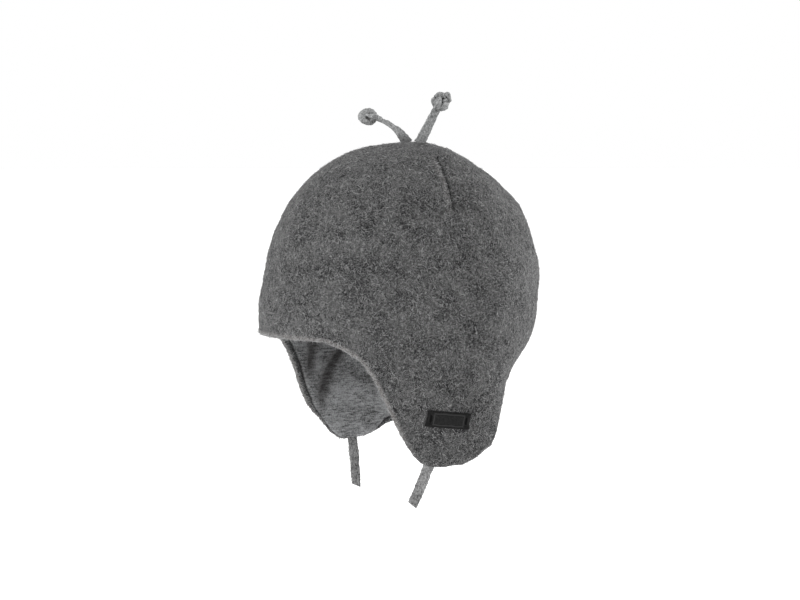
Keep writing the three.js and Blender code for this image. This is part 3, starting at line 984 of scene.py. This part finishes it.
@dataclass(frozen=True)
class Dart:
    """A short sewn dart: a pressed ridge before the seam and a crease behind it."""

    angle: float
    start: float = 7.0
    length: float = 34.0
    ridge: float = 0.55
    crease: float = 1.5
    turn: int = 1
    ridge_place: float = -1.3
    ridge_width: float = 1.5
    return_widths: tuple[float, float] = (3.6, 1.0)
    # Strength of the painted highlight on the ridge before the seam.
    ridge_highlight_share: float = 0.4

    def along(self, depth: Array) -> Array:
        """Return how strong the dart is at a depth: sin(pi s ^ 0.6) along its length s."""
        return np.sin(math.pi * np.clip((depth - self.start) / self.length, 0, 1) ** 0.6)

    def relief(self, behind: Array, depth: Array) -> Array:
        """Work out how far the cloth rises by the dart.

        Before the seam it rises as a bell curve. Behind it the cloth sinks at once and comes back
        exponentially, over a longer way near the dart's start.

        Args:
            behind: distance behind the seam in millimetres, negative before it.
            depth: depth in millimetres.

        Returns:
            Rise in millimetres.
        """
        share = np.clip((depth - self.start) / self.length, 0, 1)
        ridge = self.ridge * bell(behind - self.ridge_place, self.ridge_width)
        back = np.exp(-np.maximum(behind, 0) / mix(*self.return_widths, share))
        return self.along(depth) * (ridge - self.crease * back * (behind > 0.02))

    def shadow(self, behind: Array, depth: Array) -> Array:
        """Return how dark the crease is: a narrow bell curve just behind the seam."""
        return self.along(depth) ** 0.6 * bell(behind - 0.4, 0.75)

    def gleam(self, behind: Array, depth: Array) -> Array:
        """Return the painted highlight on the ridge before the seam."""
        return self.ridge_highlight_share * self.along(depth) * bell(behind + 1.5, 0.9)


@dataclass(frozen=True)
class FleeceShell:
    """The fleece outside: crown, flaps and turned edge in one piece of cloth, with its darts."""

    form: HatForm
    label: WovenLabel
    wall: float = 2.2
    edge_thickness: float = 3.6
    thin_edge: float = 2.7
    hem_rise: float = 2.8
    columns: int = 520
    crown_rows: int = 92
    flap_rows: int = 56
    edge_steps: int = 10
    inner_step: int = 12
    crown_level: float = 0.7
    feet: tuple[float, float] = (-6.2, 1.0)
    pucker_width: float = 2.4
    hollow_place: tuple[float, float] = (2.0, 13.0)
    hollow_widths: tuple[float, float] = (6.5, 8.0)
    sinking: float = 0.5
    # Strength of the painted shade in the pucker and the hollow beside the strips' feet.
    feet_shade: float = 0.8
    # Share of the pale warm rim tint at the brow and at the flaps: partly paler yarn, partly painted
    # highlight.
    rim_tint_and_highlight: tuple[float, float] = (0.6, 0.08)
    rim_fade: tuple[float, float] = (58.0, 13.0)
    darts: tuple[Dart, ...] = (
        Dart(84.4),
        Dart(-84.4, turn=-1),
        Dart(180, crease=1.1),
        Dart(151, start=15, length=24, ridge=0.5, crease=0.9),
        Dart(-151, start=15, length=24, ridge=0.5, crease=0.9, turn=-1),
    )

    @cached_property
    def crown_angles(self) -> Array:
        """Even angles, drawn together so that columns run close down both sides of each dart."""
        angles = np.arange(self.columns) * 360 / self.columns
        for dart in self.darts:
            away = signed_angle(angles - dart.angle)
            angles = angles - 0.6 * away * bell(away, 4.0)
        return angles

    def rows(self, hem: str, crown_rows: int, flap_rows: int) -> tuple[Array, Array]:
        """Lay rows over the cloth from the top of the crown to the hem.

        Down to the crown level the rows keep their depth. Below it each row lies a share of the way to
        the edge, and its angles turn from the even ones to those evenly spaced along the edge.

        Args:
            hem: the hem's column in the table, or "outside" for the fixed rise above the edge.
            crown_rows: how many rows cover the crown.
            flap_rows: how many rows cover the flaps.

        Returns:
            Angles and depths, by row and column.
        """
        last = float(self.form.level_depth(np.array(self.crown_level)))
        crown = self.form.even_crown_depths(last, crown_rows)
        edge = self.form.even_edge_angles(self.columns)
        distance = self.hem_rise + 0 * edge if hem == "outside" else self.form.hem(hem, edge)
        angle, depth = self.form.inset(edge, distance)
        share = (np.arange(1, flap_rows + 1) / flap_rows)[:, None]
        angles = np.concatenate([
            np.broadcast_to(self.crown_angles, (crown_rows, self.columns)),
            mix(self.crown_angles, angle, smooth_step(share)),
        ])
        depths = np.concatenate([np.broadcast_to(crown[:, None], (crown_rows, self.columns)),
                                 mix(last, depth, share)])
        return angles, depths

    def behind(self, dart: Dart, angle: Array, depth: Array) -> Array:
        """Return the distance behind a dart's seam, measured round the hat in millimetres."""
        away = signed_angle(angle - dart.angle)
        return np.radians(away) * self.form.reach("side", depth) * dart.turn

    def hollow(self, points: Array) -> Array:
        """Work out how close points are to the shallow hollow beside the strips' feet.

        It is the product of a bell curve to the right and one towards the camera.

        Args:
            points: points in millimetres.

        Returns:
            One value for each point, from 0 to 1.
        """
        right, _, near = (points @ axis for axis in facing_axes())
        total = bell(right - self.hollow_place[0], self.hollow_widths[0])
        return total * bell(near - self.hollow_place[1], self.hollow_widths[1]) * (points[..., 2] > -8)

    def pucker(self, points: Array) -> Array:
        """Work out how close points are to where the strips' feet are sewn in.

        It is a bell curve of the distance to the line between the two feet.

        Args:
            points: points in millimetres.

        Returns:
            One value for each point, from 0 to 1.
        """
        line = np.clip(points[..., 1], self.feet[0], self.feet[1])
        distance = np.hypot(points[..., 0], points[..., 1] - line)
        return bell(distance, self.pucker_width) * (points[..., 2] > 0)

    def relief(self, angle: Array, depth: Array) -> Array:
        """Work out how far the felted cloth rises over the plain form.

        It is a sum of soft dents, felted lumps, the darts, the pucker where the strips are sewn in and
        the hollow beside them. It fades to nothing at the top point.

        Args:
            angle: angles in degrees.
            depth: depths in millimetres.

        Returns:
            Rise in millimetres.
        """
        points = self.form.outside(angle, depth)
        rise = sum(height * random_waves(points, *wave) for height, *wave in FELT_WAVES)
        for dart in self.darts:
            rise += dart.relief(self.behind(dart, angle, depth), depth)
        sunk = self.sinking * (self.pucker(points) + self.hollow(points))
        return (rise - sunk) * smooth_step(depth / 0.6)

    def folds(self, angle: Array, depth: Array) -> Array:
        """Work out the painted shade in a dart's crease and beside the strips' feet.

        Args:
            angle: angles in degrees.
            depth: depths in millimetres.

        Returns:
            One value for each point, from 0 to 1.
        """
        points = self.form.outside(angle, depth)
        total = self.feet_shade * np.maximum(self.pucker(points), self.hollow(points))
        for dart in self.darts:
            total = np.maximum(total, dart.shadow(self.behind(dart, angle, depth), depth))
        return np.clip(total, 0, 1)

    @cached_property
    def body(self) -> Body:
        """The shell: down the outside, round the turned edge, over the hem and up the inside."""
        form = self.form
        angles, depths = self.rows("outside", self.crown_rows, self.flap_rows)
        rise = self.relief(angles, depths)
        outside = form.outside(angles, depths) + form.outward(angles, depths) * rise[..., None]
        edge_angles = form.even_edge_angles(self.columns)
        edge = form.edge(edge_angles)
        bare = smooth_step((form.hem("lining", edge_angles) - 0.9) / 2.2)[:, None]
        thickness = mix(self.thin_edge, self.edge_thickness, bare)
        turn = np.linspace(0, math.pi, self.edge_steps + 1)[:, None, None]
        lumps = 1 + 0.08 * random_waves(edge.point, 6, 21)[:, None]
        round_edge = edge.point + edge.upward * thickness / 2 * (1 - np.sin(turn) * lumps)
        round_edge = round_edge - edge.out * thickness / 2 * (1 - np.cos(turn))
        inner_angles, inner_depths = self.rows("fleece", self.crown_rows, self.flap_rows)
        hem = form.outside(inner_angles[-1], inner_depths[-1])
        inward = form.outward(inner_angles[-1], inner_depths[-1])
        shoulder = [hem - inward * (thickness - sunk) + edge.upward * up for sunk, up in HEM_SHOULDER]
        inner_angles = inner_angles[::-1][:: self.inner_step]
        inner_depths = inner_depths[::-1][:: self.inner_step]
        inner = form.outside(inner_angles, inner_depths)
        inner = inner - form.outward(inner_angles, inner_depths) * self.wall
        rings = np.concatenate([outside, round_edge, np.array(shoulder), inner])
        top = np.array([0, 0, form.top])
        body = ring_body(rings, top, top - [0, 0, self.wall])
        rim, fold, bald = (np.zeros(rings.shape[:2]) for _ in range(3))
        start = len(outside)
        # Edge attribute on the turned edge: a pale warm tint, partly paler yarn and partly painted
        # highlight, strong at the brow and faint on the flaps.
        fade = (np.abs(signed_angle(edge_angles)) - self.rim_fade[0]) / self.rim_fade[1]
        rim[start : start + self.edge_steps - 3] = mix(*self.rim_tint_and_highlight, smooth_step(fade))
        # On the outside the edge attribute holds the painted highlight on each dart's ridge.
        rim[:start] = sum(dart.gleam(self.behind(dart, angles, depths), depths) for dart in self.darts)
        # Fold attribute: painted shade in the darts' creases and beside the strips' feet.
        fold[:start] = self.folds(angles, depths)
        end = start + len(round_edge)
        # Painted shade inside the hem, where the turned fleece meets the lining.
        fold[end - 1 : end + len(shoulder)] = 0.5
        bald[:start] = np.maximum(0.9 * fold[:start], self.label.covers(angles, depths))
        for key, values in {"edge": rim, "fold": fold, "bald": bald}.items():
            body.attributes[key] = np.append(values.ravel(), [0, 0])
        return body

    def nap(self, nap: Nap) -> Body:
        """Scatter fibres over the outside and the turned edge.

        A fibre has one section of three points for a spike and two for a strand, and a tip. Roots are
        drawn evenly over the area, more where the edge attribute is high (the pale warm turned edge and
        the painted highlight on the dart ridges) and none in creases or under the label. A fibre bends
        sideways with the square of the share of its length.

        Args:
            nap: the kind of fibre.

        Returns:
            All the fibres as one body of closed shapes, with a shade for each.
        """
        random = np.random.default_rng(nap.seed)
        body, sections, count = self.body, nap.kind.value, nap.count
        outer_rows = self.crown_rows + self.flap_rows + self.edge_steps - 1
        quads = body.quads[: outer_rows * self.columns]
        a, b, c, d = (body.points[quads[:, k]] for k in range(4))
        normal = np.cross(c - a, d - b)
        rim = body.attributes["edge"][quads].mean(-1)
        bald = body.attributes["bald"][quads].max(-1)
        weight = np.linalg.norm(normal, axis=-1) * (1 - bald) * (1 + 5 * rim)
        chosen = random.choice(len(quads), count, p=weight / weight.sum())
        u, v = random.uniform(size=(2, count, 1))
        root = mix(mix(a[chosen], d[chosen], u), mix(b[chosen], c[chosen], u), v)
        out = unit(normal[chosen])
        side = unit(np.cross(out, random.normal(size=(count, 3))))
        lean = np.radians(random.uniform(*nap.lean, (count, 1)))
        heading = out * np.cos(lean) + side * np.sin(lean)
        bend = np.cross(out, side) * random.uniform(-nap.bend, nap.bend, (count, 1))
        size = random.uniform(*nap.length, (count, 1))
        first = unit(np.cross(heading, out + 0.01))
        second = np.cross(heading, first)
        half = random.uniform(*nap.half_width, (count, 1))
        points = []
        for section in range(sections + 1):
            share = section / sections
            middle = root - out * 0.08 * (1 - share) + (heading * share + bend * share**2) * size
            turns = [2 * math.pi * k / 3 for k in range(3 if section < sections else 1)]
            radius = half * (1 - share**2)
            points += [middle + radius * (math.cos(t) * first + math.sin(t) * second) for t in turns]
        points = np.stack(points, 1)
        tip = 3 * sections
        faces = [(0, 2, 1), (tip - 3, tip - 2, tip), (tip - 2, tip - 1, tip), (tip - 1, tip - 3, tip)]
        walls = [
            (3 * s + k, 3 * s + (k + 1) % 3, 3 * s + 3 + (k + 1) % 3, 3 * s + 3 + k)
            for s in range(sections - 1) for k in range(3)
        ]
        start = points.shape[1] * np.arange(count)[:, None, None]
        triangles = (start + np.array(faces)).reshape(-1, 3)
        quads = (start + np.array(walls, int).reshape(-1, 4)).reshape(-1, 4)
        # Fibres where the edge attribute is high are paler: the rim tint and its painted highlight carried
        # into the nap.
        shade = np.clip(random.normal(nap.shade, 0.3, count) + 0.5 * rim[chosen], 0, 1)
        fibres = Body(points.reshape(-1, 3), quads, triangles)
        fibres.attributes["shade"] = np.repeat(shade, points.shape[1])
        return fibres.outwards()

    def build(self) -> list[bpy.types.Object]:
        """Build the shell and its nap.

        Returns:
            The shell, the short nap and the long nap.
        """
        shell = make_piece("fleece_shell", self.body, FeltedFleece().material())
        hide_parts("shell")
        fibre = NapFibre().material()
        naps = {"nap_short": NAP_SHORT, "nap_long": NAP_LONG}
        return [shell, *(make_piece(name, self.nap(nap), fibre) for name, nap in naps.items())]


@dataclass(frozen=True)
class LiningFold:
    """A soft pleat of the lining: two ridges with a valley between them along a curved line."""

    angles: tuple[float, ...]
    depths: tuple[float, ...]
    half_width: float
    height: float

    def away(self, angle: Array, depth: Array, radius: float) -> Array:
        """Return the distance from the pleat's line in millimetres."""
        return np.radians(signed_angle(angle) - np.interp(depth, self.depths, self.angles)) * radius

    def strength(self, depth: Array) -> Array:
        """Return how strong the pleat is, fading in above its start and out over its lowest third."""
        share = (depth - self.depths[0]) / (self.depths[-1] - self.depths[0])
        return smooth_step((share + 0.25) / 0.25) * smooth_step((1 - share) / 0.35)

    def lift(self, angle: Array, depth: Array, radius: float) -> Array:
        """Work out how far the pleat stands off: a bell curve with a narrow cut along its middle.

        Args:
            angle: angles in degrees.
            depth: depths in millimetres.
            radius: how far the cloth lies from the middle of the hat, in millimetres.

        Returns:
            Heights in millimetres.
        """
        away = self.away(angle, depth, radius)
        cut = 1 - 0.95 * bell(away, 0.4 * self.half_width)
        return self.height * self.strength(depth) * bell(away, self.half_width) * cut

    def shadow(self, angle: Array, depth: Array, radius: float) -> Array:
        """Work out how dark the valley is: widest at its top, and darker the higher the pleat is.

        Args:
            angle: angles in degrees.
            depth: depths in millimetres.
            radius: how far the cloth lies from the middle of the hat, in millimetres.

        Returns:
            One value for each point, from 0 to 1.
        """
        share = np.clip((depth - self.depths[0]) / (self.depths[-1] - self.depths[0]), 0, 1)
        width = self.half_width * mix(0.85, 0.4, share)
        dark = self.strength(depth) * min(1.0, self.height / 3)
        return dark * bell(self.away(angle, depth, radius), width)


@dataclass(frozen=True)
class JerseyLining:
    """The jersey inside, sewn to the turned edge, with three pleats inside the right flap."""

    shell: FleeceShell
    clearance: float = 0.3
    wall: float = 1.0
    slack: float = 0.2
    # Strengths of the painted shade in the pleats' valleys and in the groove along the seam.
    valley_dark: float = 0.75
    groove_dark: float = 0.9
    crown_rows: int = 30
    flap_rows: int = 90
    outer_step: int = 6
    folds: tuple[LiningFold, ...] = (
        LiningFold((-65, -63, -61.5, -60.4, -60), (100, 118, 126, 134, 145), 7.0, 3.0),
        LiningFold((-82, -77.5, -70, -66.5, -66), (104, 122, 135, 147.5, 166), 8.4, 3.4),
        LiningFold((-90, -92, -93, -93.5), (112, 128, 142, 160), 5.5, 1.1),
    )

    def body(self) -> Body:
        """Build the lining: its hidden face, its lower edge and the face that shows.

        It lies at a clearance inside the fleece and stands off by its pleats and a random slack. Both
        fade out exponentially towards the seam.

        Returns:
            The closed lining, with the painted shade of its pleats and its seam as the fold attribute.
        """
        form = self.shell.form
        radius = form.width / 2
        angles, depths = self.shell.rows("lining", self.crown_rows, self.flap_rows)
        points, out = form.outside(angles, depths), form.outward(angles, depths)
        lift = sum(fold.lift(angles, depths, radius) for fold in self.folds)
        shadow = sum(fold.shadow(angles, depths, radius) for fold in self.folds)
        lift = lift + self.slack * (random_waves(points, 17, 41) + 1) + 0.06 * random_waves(points, 5, 42)
        rows = np.arange(len(angles))[::-1][:, None]
        seam = np.exp(-rows / 1.2)
        outer = self.shell.wall + self.clearance
        hidden = outer + np.maximum(lift, 0) * (1 - seam)
        inner = hidden + self.wall * (1 - 0.8 * seam)
        kept = np.unique(np.r_[0 : len(angles) : self.outer_step, len(angles) - 1])
        back = (points - out * hidden[..., None])[kept]
        face = points - out * inner[..., None]
        rings = np.concatenate([back, face[::-1]])
        top = np.array([0, 0, form.top])
        body = ring_body(rings, top - [0, 0, outer + 0.2], top - [0, 0, outer + self.wall + 0.2])
        # Painted shade: dark in the pleats' valleys and in the groove along the seam.
        groove = self.groove_dark * np.exp(-rows / 0.7) * (form.hem("lining", angles[-1]) > 2)
        fold = np.clip(self.valley_dark * shadow + groove, 0, 1)
        body.attributes["fold"] = np.append(np.concatenate([fold[kept], fold[::-1]]).ravel(), [0, 0])
        return body

    def build(self) -> list[bpy.types.Object]:
        """Build the lining.

        Returns:
            The lining, in a list.
        """
        finish = MelangeJersey("melange_jersey_lining", 0x383838, 0x8E8F90, dash=5.0, course=0.95)
        lining = make_piece("jersey_lining", self.body(), finish.material())
        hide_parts("lining")
        return [lining]


@dataclass(frozen=True)
class JerseyTie:
    """A flat folded jersey strip that hangs from the tip of a flap."""

    form: HatForm
    side: Side
    angle: float
    length: float
    inward: float
    forward: float
    slant: float
    width: float = 6.4
    thickness: float = 1.6
    behind: float = 1.8
    sewn_in: float = 0.4
    rows: int = 110

    def build(self, material: bpy.types.Material) -> list[bpy.types.Object]:
        """Build the tie and return it in a list.

        It leaves the edge at right angles and bends with the square of the share of its length.

        Args:
            material: what it is made of.

        Returns:
            The tie.
        """
        edge = self.form.edge(np.array([self.angle]))
        start = edge.point[0] - edge.out[0] * self.behind + edge.upward[0] * self.sewn_in
        share = np.linspace(0, 1, self.rows)[:, None]
        bend = np.array([-self.side.value * self.inward, -self.forward, 0])
        path = start - edge.upward[0] * (self.length + self.sewn_in) * share + bend * share**2
        wavy = 1 + 0.04 * random_waves(path, 8, 51)
        across = np.broadcast_to(edge.along[0], path.shape)
        strip = Strip(path, across, wavy * self.width / 2, self.thickness / 2, 52, crumple=0.09,
                      slant=self.slant)
        node = "tie_" + self.side.name.lower()
        tie = make_piece(node + "_strip", strip.body(), material)
        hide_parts(node)
        return [tie]


@dataclass(frozen=True)
class KnotBand:
    """A stretch of the strip in a knot: places right, up and near from the knot's middle, in mm."""

    right: tuple[float, ...]
    up: tuple[float, ...]
    near: tuple[float, ...]
    half_width: float = 2.0
    half_thickness: float = 1.3


def knot_ring(size: float) -> KnotBand:
    """Lay the strip into a ring, an ellipse whose right side is turned away.

    Args:
        size: the ring's outer size in millimetres.

    Returns:
        The ring.
    """
    turn = np.radians(np.arange(10, 430, 30))
    radius = 0.285 * size
    right, up = 1.08 * radius * np.cos(turn), 0.93 * radius * np.sin(turn)
    return KnotBand(tuple(right), tuple(up), tuple(-0.75 * right - 1.2), 0.27 * size, 0.225 * size)


@dataclass(frozen=True)
class KnottedStrip:
    """A jersey strip that stands up from the crown and ends in a knot."""

    name: str
    foot: float
    reach: float
    aside: float
    rise: float
    middle: tuple[float, float, float]
    entry: tuple[tuple[float, float, float], ...]
    bands: tuple[KnotBand, ...]
    core: float
    sunk: float = 1.2
    width: float = 7.0
    thickness: float = 1.6
    knot_width: float = 4.0
    knot_thickness: float = 2.4
    foot_shadow: float = 0.0
    knot_shadow: float = 0.14
    crevice: float = 0.5
    contact_dark: float = 0.65
    depth_dark: float = 0.85
    depth_fade: float = 1.2
    rows: int = 130

    def place(self, local: Array) -> Array:
        """Return places given right, up and near from the knot's middle in the hat's own axes."""
        return np.array(self.middle) + np.asarray(local, float) @ facing_axes()

    def stem(self) -> Strip:
        """Lay out the stem, from its foot in the crown into the knot.

        Its line runs through the shares of its table and then through the entry's places. Its width
        turns from level to square to the line, twists by the table and narrows with the curl.

        Returns:
            The stem.
        """
        line = {key: np.array(values, float) for key, values in STRIP_LINES[self.name].items()}
        table = np.stack([
            self.aside * line["forward"],
            self.foot - self.reach * line["forward"],
            HatForm().top + 0.3 + self.rise * line["rise"] - self.sunk * (line["rise"] == 0),
        ], -1)
        path = curve_through(np.concatenate([table, self.place(self.entry)]), self.rows)
        along = unit(np.gradient(path, axis=0))
        row = np.linspace(0, len(table) - 1 + len(self.entry), self.rows)
        twist = np.radians(np.interp(row, np.arange(len(table)), line["twist"]))[:, None]
        curl = np.interp(row, np.arange(len(table)), line["curl"])
        sideways = np.array([0, 1, 0])
        square = unit(sideways - along * along[:, 1:2])
        square = unit(mix(sideways, square, smooth_step(2 * row / len(table))[:, None]))
        across = square * np.cos(twist) + np.cross(along, square) * np.sin(twist)
        return Strip(path, across, mix(self.width, self.knot_width, curl) / 2,
                     mix(self.thickness, self.knot_thickness, curl) / 2, 61, crumple=0.11)

    def knot(self) -> list[Strip]:
        """Lay out the knot's bands, flat side out, round a ball of the strip that is pulled inside.

        Returns:
            The bands and the ball.
        """
        strips = []
        for number, band in enumerate(self.bands):
            local = curve_through(np.stack([band.right, band.up, band.near], -1), 90)
            path = self.place(local)
            along = unit(np.gradient(path, axis=0))
            across = np.cross(along, unit(path - np.array(self.middle)))
            width = band.half_width * (1 - 0.25 * np.linspace(-1, 1, 90) ** 6)
            strips.append(Strip(path, across, width, band.half_thickness, 70 + 3 * number, crumple=0.13,
                                groove=0.12))
        turn = np.linspace(0.15, math.pi - 0.15, 24)
        path = self.place(np.stack([0 * turn, self.core * np.cos(turn), 0 * turn], -1))
        across = np.broadcast_to(facing_axes()[0], path.shape)
        radius = self.core * np.sin(turn)
        strips.append(Strip(path, across, radius, radius, 99, crumple=0.15, groove=0.0))
        return strips

    def shaded(self, strip: Strip, others: list[Strip]) -> Body:
        """Build a strip with the shadow of its crevices.

        A point is dark where its distance from another strip's line is little more than that strip's
        half thickness, where it lies deep in the knot, and near the foot.

        Args:
            strip: the strip to build.
            others: the strips beside it.

        Returns:
            The strip's body with its fold attribute.
        """
        body = strip.body()
        fold = self.foot_shadow * (1 - smooth_step((body.points[:, 2] - HatForm().top) / 7))
        if others:
            fold = fold + self.knot_shadow
        for other in others:
            distance = np.linalg.norm(body.points[:, None] - other.path[None], axis=-1).min(1)
            gap = distance - np.max(other.half_thickness) - 0.25
            fold = np.maximum(fold, self.contact_dark * smooth_step(1 - gap / self.crevice))
        away = np.linalg.norm(body.points - np.array(self.middle), axis=-1)
        depth = self.core + (1.0 if others else -0.8) - away
        body.attributes["fold"] = np.maximum(fold, self.depth_dark * smooth_step(depth / self.depth_fade))
        return body

    def build(self, material: bpy.types.Material) -> list[bpy.types.Object]:
        """Build the strip with its knot.

        Args:
            material: what it is made of.

        Returns:
            The strip, in a list.
        """
        stem = self.stem()
        strips = [stem, *self.knot()]
        around = strips[:-1]
        beside = [[other for other in around if other is not strip] for strip in strips[1:]]
        body = join_bodies([self.shaded(strip, others) for strip, others in zip(strips, [[], *beside])])
        piece = make_piece("knotted_strip_" + self.name, body, material)
        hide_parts("antenna_" + self.name)
        return [piece]


@dataclass(frozen=True)
class Studio:
    """Lit white table, soft light and the camera, in millimetres.

    Each lamp has its place, its size and its power in watts.
    """

    floor: float = -270.0
    floor_radius: float = 9000.0
    aim: tuple[float, float, float] = (1.4, -11.9, -85.7)
    camera: tuple[float, float, float] = (1159.8, -591.3, 25.5)
    lens: float = 103.25
    sensor: float = 36.0
    lamps: dict[str, tuple] = field(default_factory=lambda: {
        "key": ((300, -1900, 500), 700, 21),
        "rim": ((-150, 1650, 100), 600, 30),
    })

    def table(self) -> None:
        """Build the wide round table top."""
        turn = np.linspace(0, 2 * math.pi, 96, endpoint=False)
        rim = self.floor_radius * np.stack([np.cos(turn), np.sin(turn), 0 * turn], -1)
        points = (rim + [0, 0, self.floor]) * MM
        mesh = bpy.data.meshes.new("table_top")
        mesh.from_pydata(points.tolist(), [], [list(range(len(points)))])
        mesh.materials.append(LitAcrylic().material())
        top = bpy.data.objects.new("table_top", mesh)
        bpy.context.scene.collection.objects.link(top)

    def lamp(self, name: str, place: tuple[float, float, float], size: float, power: float) -> None:
        """Hang a square soft lamp that faces the hat.

        Args:
            name: the lamp's name.
            place: where it hangs, in millimetres.
            size: the length of its sides in millimetres.
            power: its power in watts.
        """
        light = bpy.data.lights.new(name, "AREA")
        light.size, light.energy = size * MM, power
        lamp = bpy.data.objects.new(name, light)
        lamp.location = Vector(place) * MM
        lamp.rotation_euler = (Vector(self.aim) * MM - lamp.location).to_track_quat("-Z", "Y").to_euler()
        bpy.context.scene.collection.objects.link(lamp)

    def build(self) -> None:
        """Build the table, the light and the camera."""
        self.table()
        world = bpy.data.worlds.new("soft_studio_light")
        world.use_nodes = True
        world.node_tree.nodes["Background"].inputs[0].default_value = (1, 1, 1, 1)
        world.node_tree.nodes["Background"].inputs[1].default_value = 1.0
        bpy.context.scene.world = world
        for name, lamp in self.lamps.items():
            self.lamp(name, *lamp)
        data = bpy.data.cameras.new("camera")
        data.lens, data.sensor_width = self.lens, self.sensor
        camera = bpy.data.objects.new("camera", data)
        camera.location = Vector(self.camera) * MM
        camera.rotation_euler = (Vector(self.aim) * MM - camera.location).to_track_quat("-Z", "Y").to_euler()
        bpy.context.scene.collection.objects.link(camera)
        bpy.context.scene.camera = camera
        bpy.context.scene.view_settings.view_transform = "Standard"


FRONT_STRIP = KnottedStrip(
    name="front", foot=-6.2, reach=20.8, aside=-3.4, rise=13.3, middle=(-3.4, -30.1, 17.9),
    entry=((5.7, -0.4, -0.9), (3.7, 0.1, 0.6), (1.8, 0.5, 1.6), (0.3, 0.8, 1.8), (-0.3, 0.6, -0.5)),
    bands=(
        knot_ring(9.8),
        KnotBand((0.8, 2.0, 3.2), (-0.7, -1.8, -2.6), (0.6, 0.5, -0.8), 1.3, 0.9),
        KnotBand((-1.0, 0.6, 2.4, 3.4), (-0.6, -2.0, -2.8, -2.2), (-3.0, -4.0, -3.6, -2.4), 1.9, 0.9),
    ),
    core=2.4, knot_width=2.9, knot_thickness=2.1, foot_shadow=0.55,
)
"""The strip that leans forward: a ring that faces the camera with the stem running over and into it."""

BACK_STRIP = KnottedStrip(
    name="back", foot=1.0, reach=-10.4, aside=1.5, rise=18.2, middle=(2.0, 13.6, 26.1),
    entry=((-1.7, -2.2, 1.4),),
    bands=(
        KnotBand((-2.2, -1.9, -1.6, -1.3), (-4.4, -2.0, 0.6, 3.0), (0.6, 2.8, 3.1, 1.4), 2.4, 1.2),
        KnotBand((-2.8, -3.8, -4.2, -3.4), (2.0, 1.5, -0.1, -1.8), (0.0, 1.0, 0.8, 0.0), 1.9, 1.5),
        KnotBand((-2.8, -1.6, -0.4, 0.4), (2.4, 3.8, 3.9, 2.6), (0.4, 1.3, 1.4, 0.8), 2.0, 1.5),
        KnotBand((1.6, 2.8, 4.2, 4.9, 4.6), (3.0, 4.2, 4.0, 2.4, 0.6), (0.6, 1.6, 1.6, 1.0, -0.2), 2.0, 1.3),
        KnotBand((1.5, 2.7, 3.9), (0.9, 0.7, 1.0), (2.2, 2.7, 1.6), 1.3, 1.0),
        KnotBand((3.6, 2.6, 1.5, 0.6), (-0.2, -1.6, -3.0, -4.4), (0.6, 2.2, 2.2, 0.8), 2.2, 1.3),
        KnotBand((3.2, 2.8, 2.3, 1.9), (1.2, 2.6, 3.9, 4.7), (1.2, 2.2, 2.4, 1.6), 1.2, 0.7),
        KnotBand((-3.0, 0.0, 3.0, 2.5, -1.0), (2.5, 3.8, 1.5, -2.5, -3.8), (-2.0, -3.4, -3.4, -2.8, -2.4),
                 2.2, 1.3),
        KnotBand((4.2, 1.5, -2.5, -4.0), (1.8, 0.0, -1.0, -0.5), (-1.2, -4.2, -3.8, -1.6), 2.0, 1.2),
    ),
    core=2.9,
)
"""The strip that stands up at the back: its knot is seen from the side, lobe beside lobe."""


def main() -> None:
    """Build the hat piece by piece and the studio round it."""
    logging.basicConfig(level=logging.INFO)
    form = HatForm()
    label = WovenLabel(form)
    shell = FleeceShell(form, label)
    # The ties and the strips are one jersey in two copies, the ties' copy darker and the strips' copy paler:
    # painted shade and painted light for how light falls on each.
    tie = MelangeJersey("melange_jersey_tie_shaded", 0x404040, 0x909090, dash=1.1, course=1.8).material()
    strip = MelangeJersey("melange_jersey_strip", 0x626363, 0xA6A7A7, dash=1.1, course=1.8).material()
    left = JerseyTie(form, Side.LEFT, 74.6, length=23.5, inward=2.4, forward=0.4, slant=0.35)
    right = JerseyTie(form, Side.RIGHT, -81.6, length=28.0, inward=2.0, forward=1.7, slant=-0.35)
    pieces = [
        *shell.build(), *JerseyLining(shell).build(), *label.build(), *left.build(tie), *right.build(tie),
        *FRONT_STRIP.build(strip), *BACK_STRIP.build(strip),
    ]
    LOG.info("%d pieces", len(pieces))
    Studio().build()


if __name__ == "__main__":
    main()
